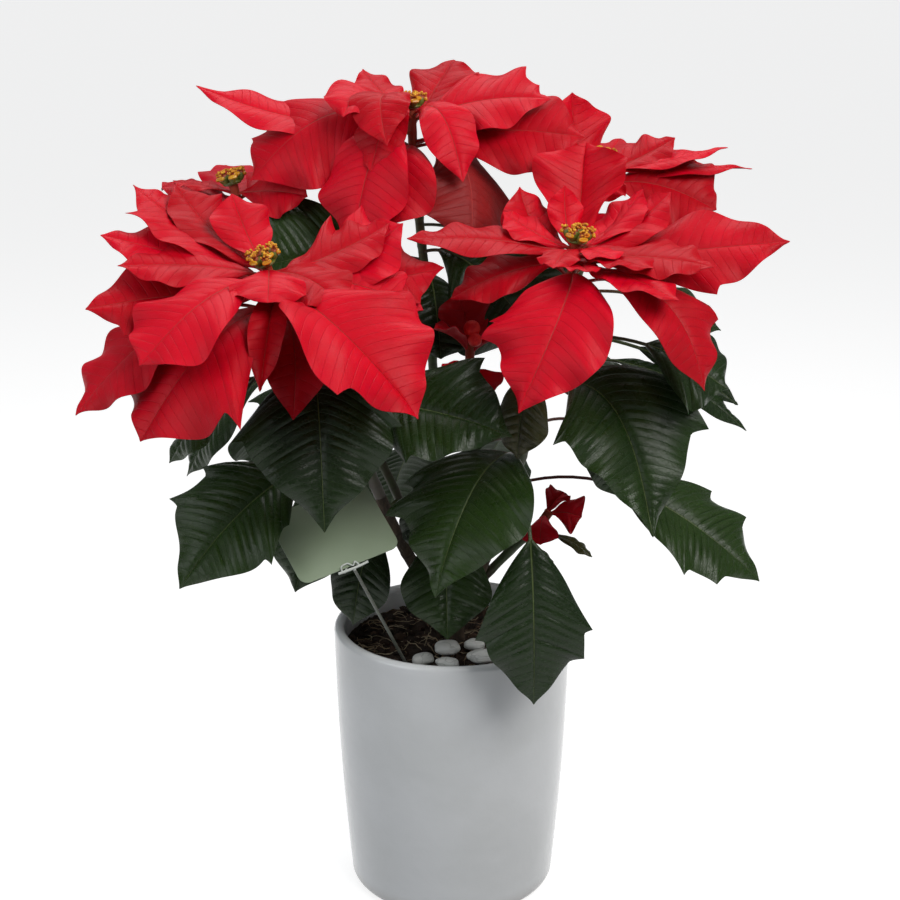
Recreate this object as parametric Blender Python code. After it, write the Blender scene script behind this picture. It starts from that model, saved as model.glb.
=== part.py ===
"""Poinsettia with five open blooms, a young one and a side shoot, planted in a glazed round pot.

Sizes are in millimetres and are scaled to metres where a mesh is made. The origin is the middle of
the pot's flat base. The front is -Y. A heading is a compass direction seen from above: 0 is the
front, 90 the right, 180 the back and 270 the left.
"""

import math
from typing import NamedTuple

import bpy
import numpy as np
from mathutils import Euler, Matrix, Vector

MM = 0.001
# The clearance between two pieces that touch.
GAP = 0.3
SHARP_ANGLE = 40

# The pot.
POT_HEIGHT = 211
RIM_RADIUS = 90
BASE_RADIUS = 78.6
POT_BULGE = 2.2
POT_WALL = 8
POT_FLOOR = 12
LIP_RADIUS = 4
FOOT_RADIUS = 8
WAIST_HEIGHT = 90
SHOULDER_HEIGHT = 181
POT_SIDES = 32

# The soil, and the holes in it.
SOIL_TOP = 193
SOIL_RELIEF = 1.6
SOIL_RINGS = (66, 50, 34, 17)
TRUNK_HOLE_DEPTH = 50
STAKE_HOLE_DEPTH = 35

# The wood and the green stems.
TRUNK_AXIS = (2, 5)
TRUNK_RADIUS = 8.5
FORK_HEIGHT = 228
FORK_DEPTH = 14
BRANCH_RADIUS = 5
STEM_RADIUS = 3.4
STEM_SIDES = 6
STEM_STEP = 36
STRAIGHT_END = 8

# The leaves and bracts. Stations are shares of a blade past its stalk.
BLADE_THICKNESS = 0.8
STALK_WIDTH = 2.6
STALK_THICKNESS = 2.4
VEIN_LEAN = 0.7
TOOTH_RISE = 0.2
TOOTH_FALL = 0.06
LONG_BLADE = 95
LONG_STATIONS = (0.0, 0.15, 0.38, 0.62, 0.84, 1.0)
SHORT_STATIONS = (0.0, 0.22, 0.5, 0.78, 1.0)

# The red end of a stem, from its top under the bloom's centre to its foot under the lowest bract.
CORE_TOP = 4
CORE_MARGIN = 5

# The true flowers, and the young bloom's buds as (middle, radius).
CUPS_PER_BLOOM = 8
CUP_RADIUS = 2.7
CUP_HEIGHT = 8
CUP_SPREAD = 3.3
RECEPTACLE_RADIUS = 7.5
RECEPTACLE_HEIGHT = 2.6
GOLDEN_ANGLE = 137.5
BUD_STALK_RADIUS = 2.5
BUDS = (((1, -4, 6), 6), ((3, -9, -1), 5))

# The tag.
CARD_SIZE = (77, 0.8, 58)
CARD_MIDDLE = (-83, -85, 313)
CARD_TURN = (-49, -12, 28)
CLIP_SIZE = (20, 3.4, 4.2)
CLIP_GRIP = 2
STAKE_RADIUS = 1.5
STAKE_FOOT = (-33, -45)

# The pebbles, each as (x, y, length, breadth, height, turn).
PEBBLE_LIFT = 2
PEBBLES = (
    (-22, -46, 17, 13, 9, 20),
    (-3, -52, 18, 12, 8, -15),
    (-3, -26, 21, 17, 10, 10),
    (17, -20, 16, 12, 9, -30),
    (24, -42, 26, 15, 10, 15),
    (42, -20, 18, 14, 9, 40),
    (38, 8, 17, 13, 9, 70),
)

# Each material's colour, roughness and metallic value.
COLOURS = {
    "glazed_pot": ((0.78, 0.79, 0.80), 0.15, 0.0),
    "potting_soil": ((0.045, 0.028, 0.018), 0.95, 0.0),
    "wood": ((0.09, 0.055, 0.035), 0.8, 0.0),
    "leaf": ((0.022, 0.075, 0.025), 0.4, 0.0),
    "bract": ((0.62, 0.012, 0.03), 0.5, 0.0),
    "flower": ((0.45, 0.32, 0.03), 0.5, 0.0),
    "bud": ((0.65, 0.02, 0.02), 0.4, 0.0),
    "pebble": ((0.75, 0.75, 0.73), 0.6, 0.0),
    "card": ((0.25, 0.36, 0.24), 0.7, 0.0),
    "clip": ((0.8, 0.8, 0.78), 0.4, 0.0),
    "stake": ((0.2, 0.27, 0.2), 0.5, 0.0),
}


class Blade(NamedTuple):
    """One leaf or bract.

    Its tip lies the reach away along the heading, and the drop lower. A bract's drop is counted from
    the bloom's centre, and its root is how far under that centre it leaves the stem. A leaf's drop is
    counted from its root, which is the height at which it leaves the stem. It sets out at the rise, and
    sway turns that start aside. Arch is how far it keeps to that start before it bends down, as a share
    of the way to its tip. Roll lowers its right half, seen from its root. Each half rises from the
    midrib by the fold and bends down by the curl. The stalk, the widest place and the teeth of each
    edge are shares of its length, and a tooth stands out by a share of the half width.
    """

    heading: float
    reach: float
    drop: float
    width: float
    root: float
    rise: float = 20
    roll: float = 0
    fold: float = 12
    curl: float = 30
    stalk: float = 0.12
    widest: float = 0.45
    taper: float = 1.1
    left: tuple = ()
    right: tuple = ()
    tooth: float = 0.2
    sway: float = 0
    arch: float = 0.5


class Shoot(NamedTuple):
    """One shoot: its stem's route up to the bloom's centre, the height of its wood's end, and its blades."""

    route: tuple
    wood: float
    leaves: tuple
    bracts: tuple


SHOOTS = {
    "front_left": Shoot(
        route=((-8, -5, 225), (-38, -22, 283), (-66, -46, 360), (-108, -78, 450), (-125, -90, 506)),
        wood=322,
        leaves=(
            Blade(9, 80, 90, 98, 425, 25, stalk=0.12, widest=0.24, left=(0.14,), right=(0.2,)),
            Blade(
                299, 145, 67, 84, 348, 28, -30, fold=20, stalk=0.34, widest=0.3,
                left=(0.06, 0.26), right=(0.14, 0.42), sway=11,
            ),
            Blade(
                65, 140, 12, 82, 405, 5, 38, fold=20, stalk=0.2, widest=0.32,
                left=(0.4,), right=(0.24,),
            ),
            Blade(282, 100, 60, 60, 425, 10, -10, stalk=0.3),
            Blade(228, 84, 58, 74, 395, 20, stalk=0.28, left=(0.25,)),
        ),
        bracts=(
            Blade(228, 90, -42, 48, 11, 15, widest=0.55, stalk=0.08, right=(0.72,), tooth=0.5),
            Blade(208, 56, -37, 44, 9, 20, widest=0.55, stalk=0.08),
            Blade(110, 88, -20, 50, 14, 15, 25, left=(0.4,), stalk=0.08, tooth=0.6),
            Blade(85, 106, 32, 56, 16, 10, 35, stalk=0.08),
            Blade(72, 113, 40, 55, 24, 0, 30),
            Blade(60, 60, 23, 50, 10, 15, 20, widest=0.5, stalk=0.08),
            Blade(8, 48, 19, 50, 9, 15, widest=0.5, taper=0.8, stalk=0.08),
            Blade(276, 96, 2, 46, 13, 15, -22),
            Blade(262, 112, -14, 50, 20, 20, -25),
            Blade(242, 106, -43, 60, 24, 25, left=(0.72,), right=(0.76,), tooth=0.4),
            Blade(280, 118, 29, 60, 30, 10, -40, left=(0.72,)),
            Blade(315, 103, 54, 76, 17, 20, -10, widest=0.55, sway=15),
            Blade(313, 103, 105, 110, 34, 10, -5, left=(0.38,), tooth=0.35, sway=15),
            Blade(2, 70, 72, 28, 25, 10, fold=45),
            Blade(52, 131, 87, 100, 26, 15, 10, fold=30, widest=0.38, right=(0.55,), sway=-25),
            Blade(20, 65, 93, 40, 38, 0),
            Blade(62, 107, 84, 60, 42, 0),
            Blade(288, 129, 96, 76, 46, 35, -15, stalk=0.28),
            Blade(95, 120, 7, 55, 32, 10, 35, left=(0.6,), right=(0.7,)),
            Blade(107, 96, -20, 64, 24, 15, 30, left=(0.64,), tooth=0.5),
            Blade(138, 90, 8, 54, 34, 15),
        ),
    ),
    "front_right": Shoot(
        route=((10, -8, 225), (35, -22, 300), (60, -42, 390), (78, -54, 460), (85, -60, 516)),
        wood=330,
        leaves=(
            Blade(325, 107, 74, 106, 352, 30, stalk=0.12, widest=0.24, right=(0.12, 0.38)),
            Blade(
                42, 107, 82, 98, 405, 30, 18, fold=22, stalk=0.14, widest=0.18,
                left=(0.05, 0.28), right=(0.12,), sway=30,
            ),
            Blade(8, 83, 144, 70, 338, 10, stalk=0.38, widest=0.38, left=(0.36, 0.6), right=(0.4,)),
            Blade(322, 40, 60, 46, 425, 10, stalk=0.2),
            Blade(85, 118, 34, 76, 444, 10, 30, stalk=0.48, widest=0.38, right=(0.3,)),
        ),
        bracts=(
            Blade(197, 26, -32, 26, 9, 20, widest=0.5, stalk=0.1),
            Blade(172, 74, -56, 74, 18, 20, -8, fold=32, curl=20, widest=0.58),
            Blade(275, 116, -1, 42, 12, 15, -20, stalk=0.08),
            Blade(248, 54, -14, 40, 9, 15, -10, widest=0.5, stalk=0.08),
            Blade(334, 42, 14, 30, 9, 15, widest=0.5, stalk=0.08),
            Blade(31, 44, 8, 30, 9, 15, widest=0.5, stalk=0.08),
            Blade(5, 55, 13, 24, 15, 0),
            Blade(43, 68, 12, 38, 14, 10, left=(0.7,)),
            Blade(331, 86, 103, 82, 24, 10, -5, widest=0.32, right=(0.27, 0.46), sway=30),
            Blade(86, 143, 1, 64, 20, 10, 42, right=(0.44,), taper=1.25),
            Blade(65, 96, 13, 46, 14, 10, 20),
            Blade(41, 93, 29, 44, 20, 5),
            Blade(54, 101, 92, 58, 34, 20, 10, widest=0.5, left=(0.55,), arch=0.75),
            Blade(126, 59, -28, 40, 10, 15),
            Blade(107, 68, -28, 44, 12, 15, 20),
            Blade(272, 86, 42, 44, 17, 0, -30),
            Blade(150, 95, -10, 56, 30, 20),
            Blade(219, 60, -28, 50, 30, 25),
        ),
    ),
    "top": Shoot(
        route=((0, 8, 230), (-10, 25, 350), (-20, 40, 470), (-28, 48, 550), (-30, 50, 596)),
        wood=270,
        leaves=(
            Blade(2, 92, 84, 66, 310, 0, stalk=0.35, widest=0.38),
            Blade(120, 100, 85, 96, 508, 0, stalk=0.2, left=(0.4,), right=(0.35,)),
            Blade(282, 120, 0, 104, 482, 15, -60, stalk=0.25, left=(0.4,)),
            Blade(60, 95, 56, 104, 488, 20, 50, stalk=0.15, sway=-20),
            Blade(12, 60, 55, 90, 476, 10, stalk=0.2),
            Blade(225, 110, 30, 80, 450, 20, stalk=0.3, left=(0.2,)),
            Blade(182, 104, 62, 84, 375, 25, stalk=0.25, left=(0.2,), right=(0.3,)),
            Blade(206, 98, 84, 74, 338, 15, stalk=0.3, right=(0.25,)),
        ),
        bracts=(
            Blade(84, 102, -4, 64, 13, 25, 35, left=(0.66, 0.84), widest=0.38, stalk=0.08, tooth=0.25),
            Blade(79, 128, 22, 76, 28, 15, 45),
            Blade(36, 64, 50, 40, 11, 40, 20, stalk=0.08, arch=0.7),
            Blade(36, 74, 92, 92, 32, 20, fold=-5, sway=35, arch=0.6),
            Blade(345, 60, 24, 44, 12, 50, stalk=0.08, widest=0.4, sway=-40, arch=1.0),
            Blade(311, 62, 6, 52, 17, 45, -22, stalk=0.1, sway=-25, arch=0.9),
            Blade(217, 62, -21, 40, 11, 20, stalk=0.08),
            Blade(263, 160, -11, 46, 15, -5, -25),
            Blade(277, 118, 54, 92, 16, 32, -40, fold=-8, curl=25, right=(0.7,), arch=0.55),
            Blade(332, 59, 43, 40, 14, 50, arch=0.7),
            Blade(328, 75, 94, 74, 24, 30, arch=0.6),
            Blade(340, 68, 82, 72, 34, 25, sway=15, arch=0.6),
            Blade(146, 56, -28, 60, 18, 45, widest=0.5),
            Blade(222, 108, 15, 58, 32, 15),
            Blade(122, 100, 8, 56, 30, 15),
        ),
    ),
    "back_left": Shoot(
        route=((-10, 10, 228), (-55, 32, 330), (-120, 50, 440), (-152, 57, 495), (-164, 60, 539)),
        wood=280,
        leaves=(
            Blade(282, 108, 80, 66, 400, 10, -10, stalk=0.3),
            Blade(200, 120, 50, 84, 380, 20, stalk=0.3, left=(0.4,), right=(0.4,)),
            Blade(320, 94, 80, 62, 330, 10, -10, stalk=0.3),
            Blade(332, 70, 78, 52, 300, 0, stalk=0.3),
            Blade(120, 105, 30, 80, 430, 15, stalk=0.3),
            Blade(255, 96, 84, 78, 345, 20, stalk=0.28, left=(0.2,), right=(0.25,)),
            Blade(222, 92, 72, 78, 318, 25, stalk=0.3, right=(0.2,)),
        ),
        bracts=(
            Blade(63, 66, 8, 44, 11, 15, 50, left=(0.7,), stalk=0.08),
            Blade(247, 51, 3, 34, 11, 15, stalk=0.08),
            Blade(110, 70, 0, 40, 14, 15),
            Blade(150, 85, -5, 46, 16, 20),
            Blade(190, 90, 0, 50, 18, 20),
            Blade(225, 85, 10, 46, 22, 15),
            Blade(170, 90, 40, 50, 30, 5),
            Blade(300, 60, 25, 36, 18, 10),
        ),
    ),
    "back_right": Shoot(
        route=((10, 10, 228), (48, 34, 330), (86, 50, 440), (104, 58, 505), (110, 60, 555)),
        wood=296,
        leaves=(
            Blade(77, 151, 41, 42, 400, 20, 10, stalk=0.3),
            Blade(
                76, 196, 58, 78, 308, 25, 25, stalk=0.4, widest=0.38,
                left=(0.3, 0.6), right=(0.42, 0.7),
            ),
            Blade(84, 112, 26, 60, 455, 10, 20, stalk=0.3),
            Blade(82, 136, 51, 24, 425, 0, 60, stalk=0.4),
            Blade(50, 78, 78, 62, 388, 0, stalk=0.3),
            Blade(160, 120, 50, 84, 400, 20, stalk=0.3, left=(0.4,), right=(0.4,)),
            Blade(112, 108, 66, 82, 352, 25, stalk=0.28, left=(0.2,), right=(0.25,)),
            Blade(196, 96, 76, 78, 335, 20, stalk=0.3, left=(0.2,)),
        ),
        bracts=(
            Blade(100, 57, -14, 40, 11, 15, 30, stalk=0.08),
            Blade(84, 93, -9, 32, 13, 15, 10, taper=1.7),
            Blade(87, 112, 7, 32, 18, 15, 10, taper=2.2),
            Blade(71, 88, 34, 72, 22, 20, 42),
            Blade(130, 85, 0, 46, 16, 20),
            Blade(165, 90, -5, 50, 18, 20),
            Blade(200, 85, 5, 46, 20, 15),
            Blade(219, 32, -46, 62, 18, 35, fold=25, widest=0.4),
            Blade(343, 50, 28, 58, 16, 25, arch=0.7),
        ),
    ),
    "young": Shoot(
        route=((3, -6, 228), (8, -20, 310), (11, -27, 370), (12, -29, 400), (13, -30, 441)),
        wood=300,
        leaves=(
            Blade(330, 60, 50, 50, 340, 20, stalk=0.3),
        ),
        bracts=(
            Blade(205, 24, -28, 44, 18, 45, fold=25, widest=0.5, sway=-30),
            Blade(300, 30, -8, 26, 14, 60, fold=40),
            Blade(85, 30, 0, 24, 14, 50, fold=40),
            Blade(335, 30, 26, 24, 22, 20, fold=40),
            Blade(28, 34, 34, 26, 26, 10, fold=40),
        ),
    ),
    "side": Shoot(
        route=((6, -2, 226), (30, -8, 256), (52, -10, 280), (65, -10, 291), (75, -10, 306)),
        wood=250,
        leaves=(
            Blade(75, 48, 14, 20, 285, 15, stalk=0.35),
            Blade(40, 30, 20, 16, 281, 0, stalk=0.3),
        ),
        bracts=(
            Blade(335, 24, 22, 28, 9, 20, widest=0.5),
            Blade(75, 22, 6, 32, 7, 25, 45, widest=0.5),
            Blade(140, 14, -8, 26, 8, 60, fold=30, widest=0.5),
        ),
    ),
}


def clear_scene():
    for thing in list(bpy.data.objects):
        bpy.data.objects.remove(thing)


def material(name):
    """A Principled material of this name, made once."""
    made = bpy.data.materials.get(name)
    if made:
        return made
    colour, roughness, metallic = COLOURS[name]
    made = bpy.data.materials.new(name)
    made.use_nodes = True
    shader = made.node_tree.nodes["Principled BSDF"]
    shader.inputs["Base Color"].default_value = (*colour, 1)
    shader.inputs["Roughness"].default_value = roughness
    shader.inputs["Metallic"].default_value = metallic
    made.diffuse_color = (*colour, 1)
    return made


def smooth(mesh):
    """Smooth shading, with the sharp edges kept."""
    mesh.shade_smooth()
    mesh.set_sharp_from_angle(angle=math.radians(SHARP_ANGLE))


def place(thing, colour, location=(0, 0, 0), turn=(0, 0, 0)):
    """Gives an object its material, its location in millimetres and its rotation in degrees."""
    smooth(thing.data)
    thing.data.materials.append(material(colour))
    thing.location = [c * MM for c in location]
    thing.rotation_euler = [math.radians(angle) for angle in turn]
    if thing.name not in bpy.context.collection.objects:
        bpy.context.collection.objects.link(thing)
    return thing


def solid(name, points, faces, colour, location=(0, 0, 0), turn=(0, 0, 0)):
    """A mesh object from points in millimetres."""
    mesh = bpy.data.meshes.new(name)
    mesh.from_pydata([tuple(float(c) * MM for c in point) for point in points], [], faces)
    mesh.update()
    return place(bpy.data.objects.new(name, mesh), colour, location, turn)


def combine(first, others, operation):
    """Applies one Boolean of the other solids to the first one, and removes them."""
    group = bpy.data.collections.new("operands")
    bpy.context.scene.collection.children.link(group)
    for other in others:
        bpy.context.collection.objects.unlink(other)
        group.objects.link(other)
    boolean = first.modifiers.new("boolean", "BOOLEAN")
    boolean.operation = operation
    boolean.operand_type = "COLLECTION"
    boolean.collection = group
    graph = bpy.context.evaluated_depsgraph_get()
    result = bpy.data.meshes.new_from_object(first.evaluated_get(graph))
    first.modifiers.clear()
    first.data = result
    smooth(result)
    for other in others:
        bpy.data.objects.remove(other)
    bpy.data.collections.remove(group)
    return first


def unit(vectors):
    return vectors / np.linalg.norm(vectors, axis=-1, keepdims=True)


def compass(heading):
    """The level unit vector of a heading."""
    return np.array((math.sin(math.radians(heading)), -math.cos(math.radians(heading)), 0))


def smooth_route(route, count):
    """Points of a Catmull-Rom curve through the route's own points."""
    knots = np.array(route, float)
    knots = np.vstack([2 * knots[0] - knots[1], knots, 2 * knots[-1] - knots[-2]])
    place = np.linspace(0, len(route) - 1, count)
    first = np.minimum(place.astype(int), len(route) - 2)
    u = (place - first)[:, None]
    a, b, c, d = (knots[first + k] for k in range(4))
    return 0.5 * (2 * b + (c - a) * u + (2 * a - 5 * b + 4 * c - d) * u**2 + (3 * b - a - 3 * c + d) * u**3)


def tube(route, radii, sides):
    """Points and faces of a round tube with flat ends along a route, with a radius at each point."""
    route = np.array(route, float)
    along = unit(np.gradient(route, axis=0))
    across = unit(np.cross(along, (0.31, 0.95, 0.05)))
    third = np.cross(along, across)
    turn = np.arange(sides) * 2 * math.pi / sides
    ring = np.cos(turn)[:, None] * across[:, None] + np.sin(turn)[:, None] * third[:, None]
    points = (route[:, None] + np.reshape(radii, (-1, 1, 1)) * ring).reshape(-1, 3)
    faces = [
        (row + k, row + (k + 1) % sides, row + sides + (k + 1) % sides, row + sides + k)
        for row in range(0, (len(route) - 1) * sides, sides)
        for k in range(sides)
    ]
    last = (len(route) - 1) * sides
    return points, [*faces, tuple(range(sides))[::-1], tuple(range(last, last + sides))]


def turned(name, profile, colour):
    """A solid of revolution about +Z from a profile of (radius, height) that starts and ends on the axis.

    The profile runs down its outer side, from the middle of the top to the middle of the base.
    """
    mesh = bpy.data.meshes.new(name)
    edges = [(k, k + 1) for k in range(len(profile) - 1)]
    mesh.from_pydata([(radius * MM, 0, height * MM) for radius, height in profile], edges, [])
    thing = bpy.data.objects.new(name, mesh)
    screw = thing.modifiers.new("turned", "SCREW")
    screw.steps = screw.render_steps = POT_SIDES
    screw.use_merge_vertices = True
    screw.merge_threshold = 1e-5
    return place(thing, colour)


def arc(middle, radius, start, end, steps):
    """Points (radius, height) on an arc, from a start angle to an end angle in degrees."""
    angles = np.radians(np.linspace(start, end, steps))
    return [(middle[0] + radius * math.cos(a), middle[1] + radius * math.sin(a)) for a in angles]


def pot_radius(height):
    """The pot's outer radius at a height: a straight taper with a slight belly."""
    share = height / POT_HEIGHT
    return BASE_RADIUS + (RIM_RADIUS - BASE_RADIUS) * share + POT_BULGE * math.sin(math.pi * share)


def pot():
    """The glazed pot: a flat base, a rounded foot, a slightly bellied wall and a thick rounded lip."""
    lip = arc((RIM_RADIUS - LIP_RADIUS, POT_HEIGHT - LIP_RADIUS), LIP_RADIUS, 180, 0, 5)
    wall = [(pot_radius(z), z) for z in np.linspace(SHOULDER_HEIGHT, FOOT_RADIUS, 5)]
    foot = arc((pot_radius(FOOT_RADIUS) - FOOT_RADIUS, FOOT_RADIUS), FOOT_RADIUS, -25, -90, 3)
    inside = [(pot_radius(z) - POT_WALL, z) for z in (POT_FLOOR, WAIST_HEIGHT, SHOULDER_HEIGHT)]
    profile = [(0, POT_FLOOR), *inside, *lip, *wall, *foot, (0, 0)]
    return turned("pot", profile, "glazed_pot")


def soil_height(radius, turn):
    """The height of the soil's surface: low waves that fade out at the trunk and at the pot's wall."""
    fade = math.sin(math.pi * min(radius / (RIM_RADIUS - POT_WALL), 1))
    waves = math.sin(0.19 * radius + 3 * turn) * math.cos(0.11 * radius - 5 * turn)
    return SOIL_TOP + SOIL_RELIEF * fade * waves


def soil():
    """The soil that fills the pot, with a waved top and plain holes for the trunk and the tag's stake."""
    rings = [(pot_radius(z) - POT_WALL - GAP, z) for z in (POT_FLOOR + GAP, WAIST_HEIGHT, SHOULDER_HEIGHT)]
    edge = pot_radius(SOIL_TOP) - POT_WALL - GAP
    turns = np.arange(POT_SIDES) * 2 * math.pi / POT_SIDES
    points = [(r * math.cos(a), r * math.sin(a), z) for r, z in rings for a in turns]
    for radius in (edge, *SOIL_RINGS):
        points += [(radius * math.cos(a), radius * math.sin(a), soil_height(radius, a)) for a in turns]
    last = len(points)
    points += [(0, 0, SOIL_TOP), (0, 0, POT_FLOOR + GAP)]
    faces = [
        (row + k, row + (k + 1) % POT_SIDES, row + POT_SIDES + (k + 1) % POT_SIDES, row + POT_SIDES + k)
        for row in range(0, last - POT_SIDES, POT_SIDES)
        for k in range(POT_SIDES)
    ]
    faces += [(last - POT_SIDES + k, last - POT_SIDES + (k + 1) % POT_SIDES, last) for k in range(POT_SIDES)]
    faces += [((k + 1) % POT_SIDES, k, last + 1) for k in range(POT_SIDES)]
    filling = solid("soil", points, faces, "potting_soil")
    well = [(*TRUNK_AXIS, SOIL_TOP - TRUNK_HOLE_DEPTH - GAP), (*TRUNK_AXIS, POT_HEIGHT)]
    holes = [solid("well", *tube(well, (TRUNK_RADIUS + 2 * GAP,) * 2, 12), "potting_soil")]
    foot, head = stake_ends()
    down = unit(head - foot)
    socket = (foot - down * GAP, foot + down * 2 * STAKE_HOLE_DEPTH)
    holes.append(solid("socket", *tube(socket, (STAKE_RADIUS + GAP,) * 2, 8), "potting_soil"))
    return combine(filling, holes, "DIFFERENCE")


def stem_line(shoot, low, high):
    """The line of a shoot's stem between two heights, with a point every few millimetres."""
    line = smooth_route(shoot.route, 120)
    heights = np.linspace(low, high, max(3, round((high - low) / STEM_STEP)))
    return np.array([[np.interp(z, line[:, 2], line[:, k]) for k in range(3)] for z in heights])


def trunk():
    """The brown wood: a short trunk that stands in the soil and forks into every shoot."""
    line = [(*TRUNK_AXIS, z) for z in (SOIL_TOP - TRUNK_HOLE_DEPTH, SOIL_TOP, FORK_HEIGHT)]
    wood = solid("trunk", *tube(line, (TRUNK_RADIUS, TRUNK_RADIUS, TRUNK_RADIUS - 1), 10), "wood")
    branches = []
    for shoot in SHOOTS.values():
        fork = (*TRUNK_AXIS, FORK_HEIGHT - FORK_DEPTH)
        line = np.vstack([fork, stem_line(shoot, shoot.route[0][2], shoot.wood)])
        radii = np.linspace(BRANCH_RADIUS, wood_radius(shoot), len(line))
        branches.append(solid("branch", *tube(line, radii, STEM_SIDES), "wood"))
    return combine(wood, branches, "UNION")


def wood_radius(shoot):
    """The radius of a stem where its wood ends: thinner the longer the green stem above it."""
    return STEM_RADIUS + 0.8 if shoot.wood > 300 else STEM_RADIUS


def outline(blade, t, places):
    """Half width of one side at shares t of the blade, as a share of its greatest half width.

    It is t to a power times (1 - t) to a power, which peaks where the blade is widest. Each tooth
    adds a cusp that grows slowly towards its place and ends soon after it.
    """
    power = blade.taper * blade.widest / (1 - blade.widest)
    peak = blade.widest**power * (1 - blade.widest) ** blade.taper
    half = np.clip(t, 0, 1) ** power * np.clip(1 - t, 0, 1) ** blade.taper / peak
    for place in places:
        before = np.clip(1 - (place - t) / TOOTH_RISE, 0, 1) ** 2 * (t <= place)
        after = np.clip(1 - (t - place) / TOOTH_FALL, 0, 1) * (t > place)
        half = half + blade.tooth * (before + after)
    return half


def blade_surface(blade, root, tip, stations, across):
    """Points, normals and half thicknesses of a blade at stations along it and shares across it.

    The midrib is a quadratic Bezier curve from the root to the tip, which leaves the stem at the
    blade's rise. From it each half first rises by the fold and then bends down by the curl. Its
    stations past the stalk lean towards the tip as they near the edge, as a leaf's veins do.
    """
    rise = math.radians(blade.rise)
    lead = compass(blade.heading + blade.sway) * math.cos(rise) + np.array((0, 0, math.sin(rise)))
    middle = root + blade.arch * np.linalg.norm(tip - root) * lead
    dense = np.linspace(0, 1, 60)[:, None]
    curve = (1 - dense) ** 2 * root + 2 * dense * (1 - dense) * middle + dense**2 * tip
    lengths = np.concatenate([[0], np.cumsum(np.linalg.norm(np.diff(curve, axis=0), axis=1))])
    total = lengths[-1]
    share, s = np.broadcast_arrays(stations[:, None], across[None, :])
    t = np.clip((share - blade.stalk) / (1 - blade.stalk), 0, 1)
    half = np.where(s < 0, outline(blade, t, blade.left), outline(blade, t, blade.right)) * blade.width / 2
    half = np.maximum(half, np.where(t < 1, STALK_WIDTH / 2, BLADE_THICKNESS / 2))
    lean = VEIN_LEAN * np.abs(s) * half / total * np.sqrt(1 - t) * (t > 0)
    u = np.interp((share + lean) * total, lengths, dense[:, 0])[..., None]
    centre = (1 - u) ** 2 * root + 2 * u * (1 - u) * middle + u**2 * tip
    forward = unit((1 - u) * (middle - root) + u * (tip - middle))
    side = compass(blade.heading - 90)
    side = unit(side - forward * (forward @ side)[..., None])
    up = np.cross(side, forward)
    roll = math.radians(blade.roll)
    side, up = side * math.cos(roll) - up * math.sin(roll), side * math.sin(roll) + up * math.cos(roll)
    bend = np.radians(blade.fold - blade.curl * np.abs(s) / 2)[..., None]
    slope = np.radians(blade.fold - blade.curl * np.abs(s))[..., None]
    out = (half * np.abs(s))[..., None]
    points = centre + side * out * np.cos(bend) * np.sign(s)[..., None] + up * out * np.sin(bend)
    normals = up * np.cos(slope) - side * np.sin(slope) * np.sign(s)[..., None]
    slim = np.clip(t / 0.1, 0, 1)
    thick = STALK_THICKNESS + (BLADE_THICKNESS - STALK_THICKNESS) * slim
    return points, normals, thick / 2


def blade_solid(blade, root, tip):
    """Points and triangles of a blade: the same grid above and below, closed round its rim."""
    teeth = [t + step for t in blade.left + blade.right for step in (0, TOOTH_FALL)]
    places = LONG_STATIONS if np.linalg.norm(tip - root) > LONG_BLADE else SHORT_STATIONS
    places = [p for p in places if not any(abs(p - t) < 0.07 for t in teeth)]
    places = np.array(sorted(set(places) | set(teeth)))
    stations = np.array([0, *(blade.stalk + (1 - blade.stalk) * places)])
    points, normals, half = blade_surface(blade, root, tip, stations, np.array((-1.0, 0.0, 1.0)))
    rows, columns = points.shape[:2]
    above = (points + normals * half[..., None]).reshape(-1, 3)
    below = (points - normals * half[..., None]).reshape(-1, 3)
    under = rows * columns
    faces = []
    for i in range(rows - 1):
        for j in range(columns - 1):
            a, b = i * columns + j, i * columns + j + 1
            c, d = b + columns, a + columns
            halves = ((a, d, c), (a, c, b)) if j else ((a, d, b), (b, d, c))
            faces += [face[::-1] for face in halves]
            faces += [tuple(k + under for k in face) for face in halves]
        left, right = i * columns, i * columns + columns - 1
        faces += [(left, left + columns, left + under)]
        faces += [(left + columns, left + columns + under, left + under)]
        faces += [(right, right + under, right + columns)]
        faces += [(right + columns, right + under, right + columns + under)]
    for j in range(columns - 1):
        a, b = j, j + 1
        faces += [(b, a, a + under), (b, a + under, b + under)]
        c, d = (rows - 1) * columns + j, (rows - 1) * columns + j + 1
        faces += [(c, d, d + under), (c, d + under, c + under)]
    return np.vstack([above, below]), faces


def bloom_axis(shoot):
    """The unit vector along which a shoot's stem ends, at its bloom's centre."""
    ends = np.array(shoot.route[-2:], float)
    return unit(ends[1] - ends[0])


def bloom_depth(shoot):
    """How far under the bloom's centre its red part begins."""
    return max(blade.root for blade in shoot.bracts) + CORE_MARGIN


def bract_ends(shoot, blade):
    """Root and tip of a bract, relative to the bloom's centre."""
    root = -blade.root * bloom_axis(shoot)
    tip = compass(blade.heading) * blade.reach - np.array((0, 0, blade.drop))
    return root, tip


def leaf_ends(shoot, blade):
    """Root and tip of a leaf. Its root is the height at which it leaves the stem."""
    root = stem_line(shoot, blade.root, blade.root)[0]
    tip = root + compass(blade.heading) * blade.reach - np.array((0, 0, blade.drop))
    return root, tip


def core_tube(shoot):
    """The red end of the stem that carries a bloom's bracts, relative to the bloom's centre."""
    axis = bloom_axis(shoot)
    return tube([-bloom_depth(shoot) * axis, -CORE_TOP * axis], (STEM_RADIUS, STEM_RADIUS), STEM_SIDES)


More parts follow.
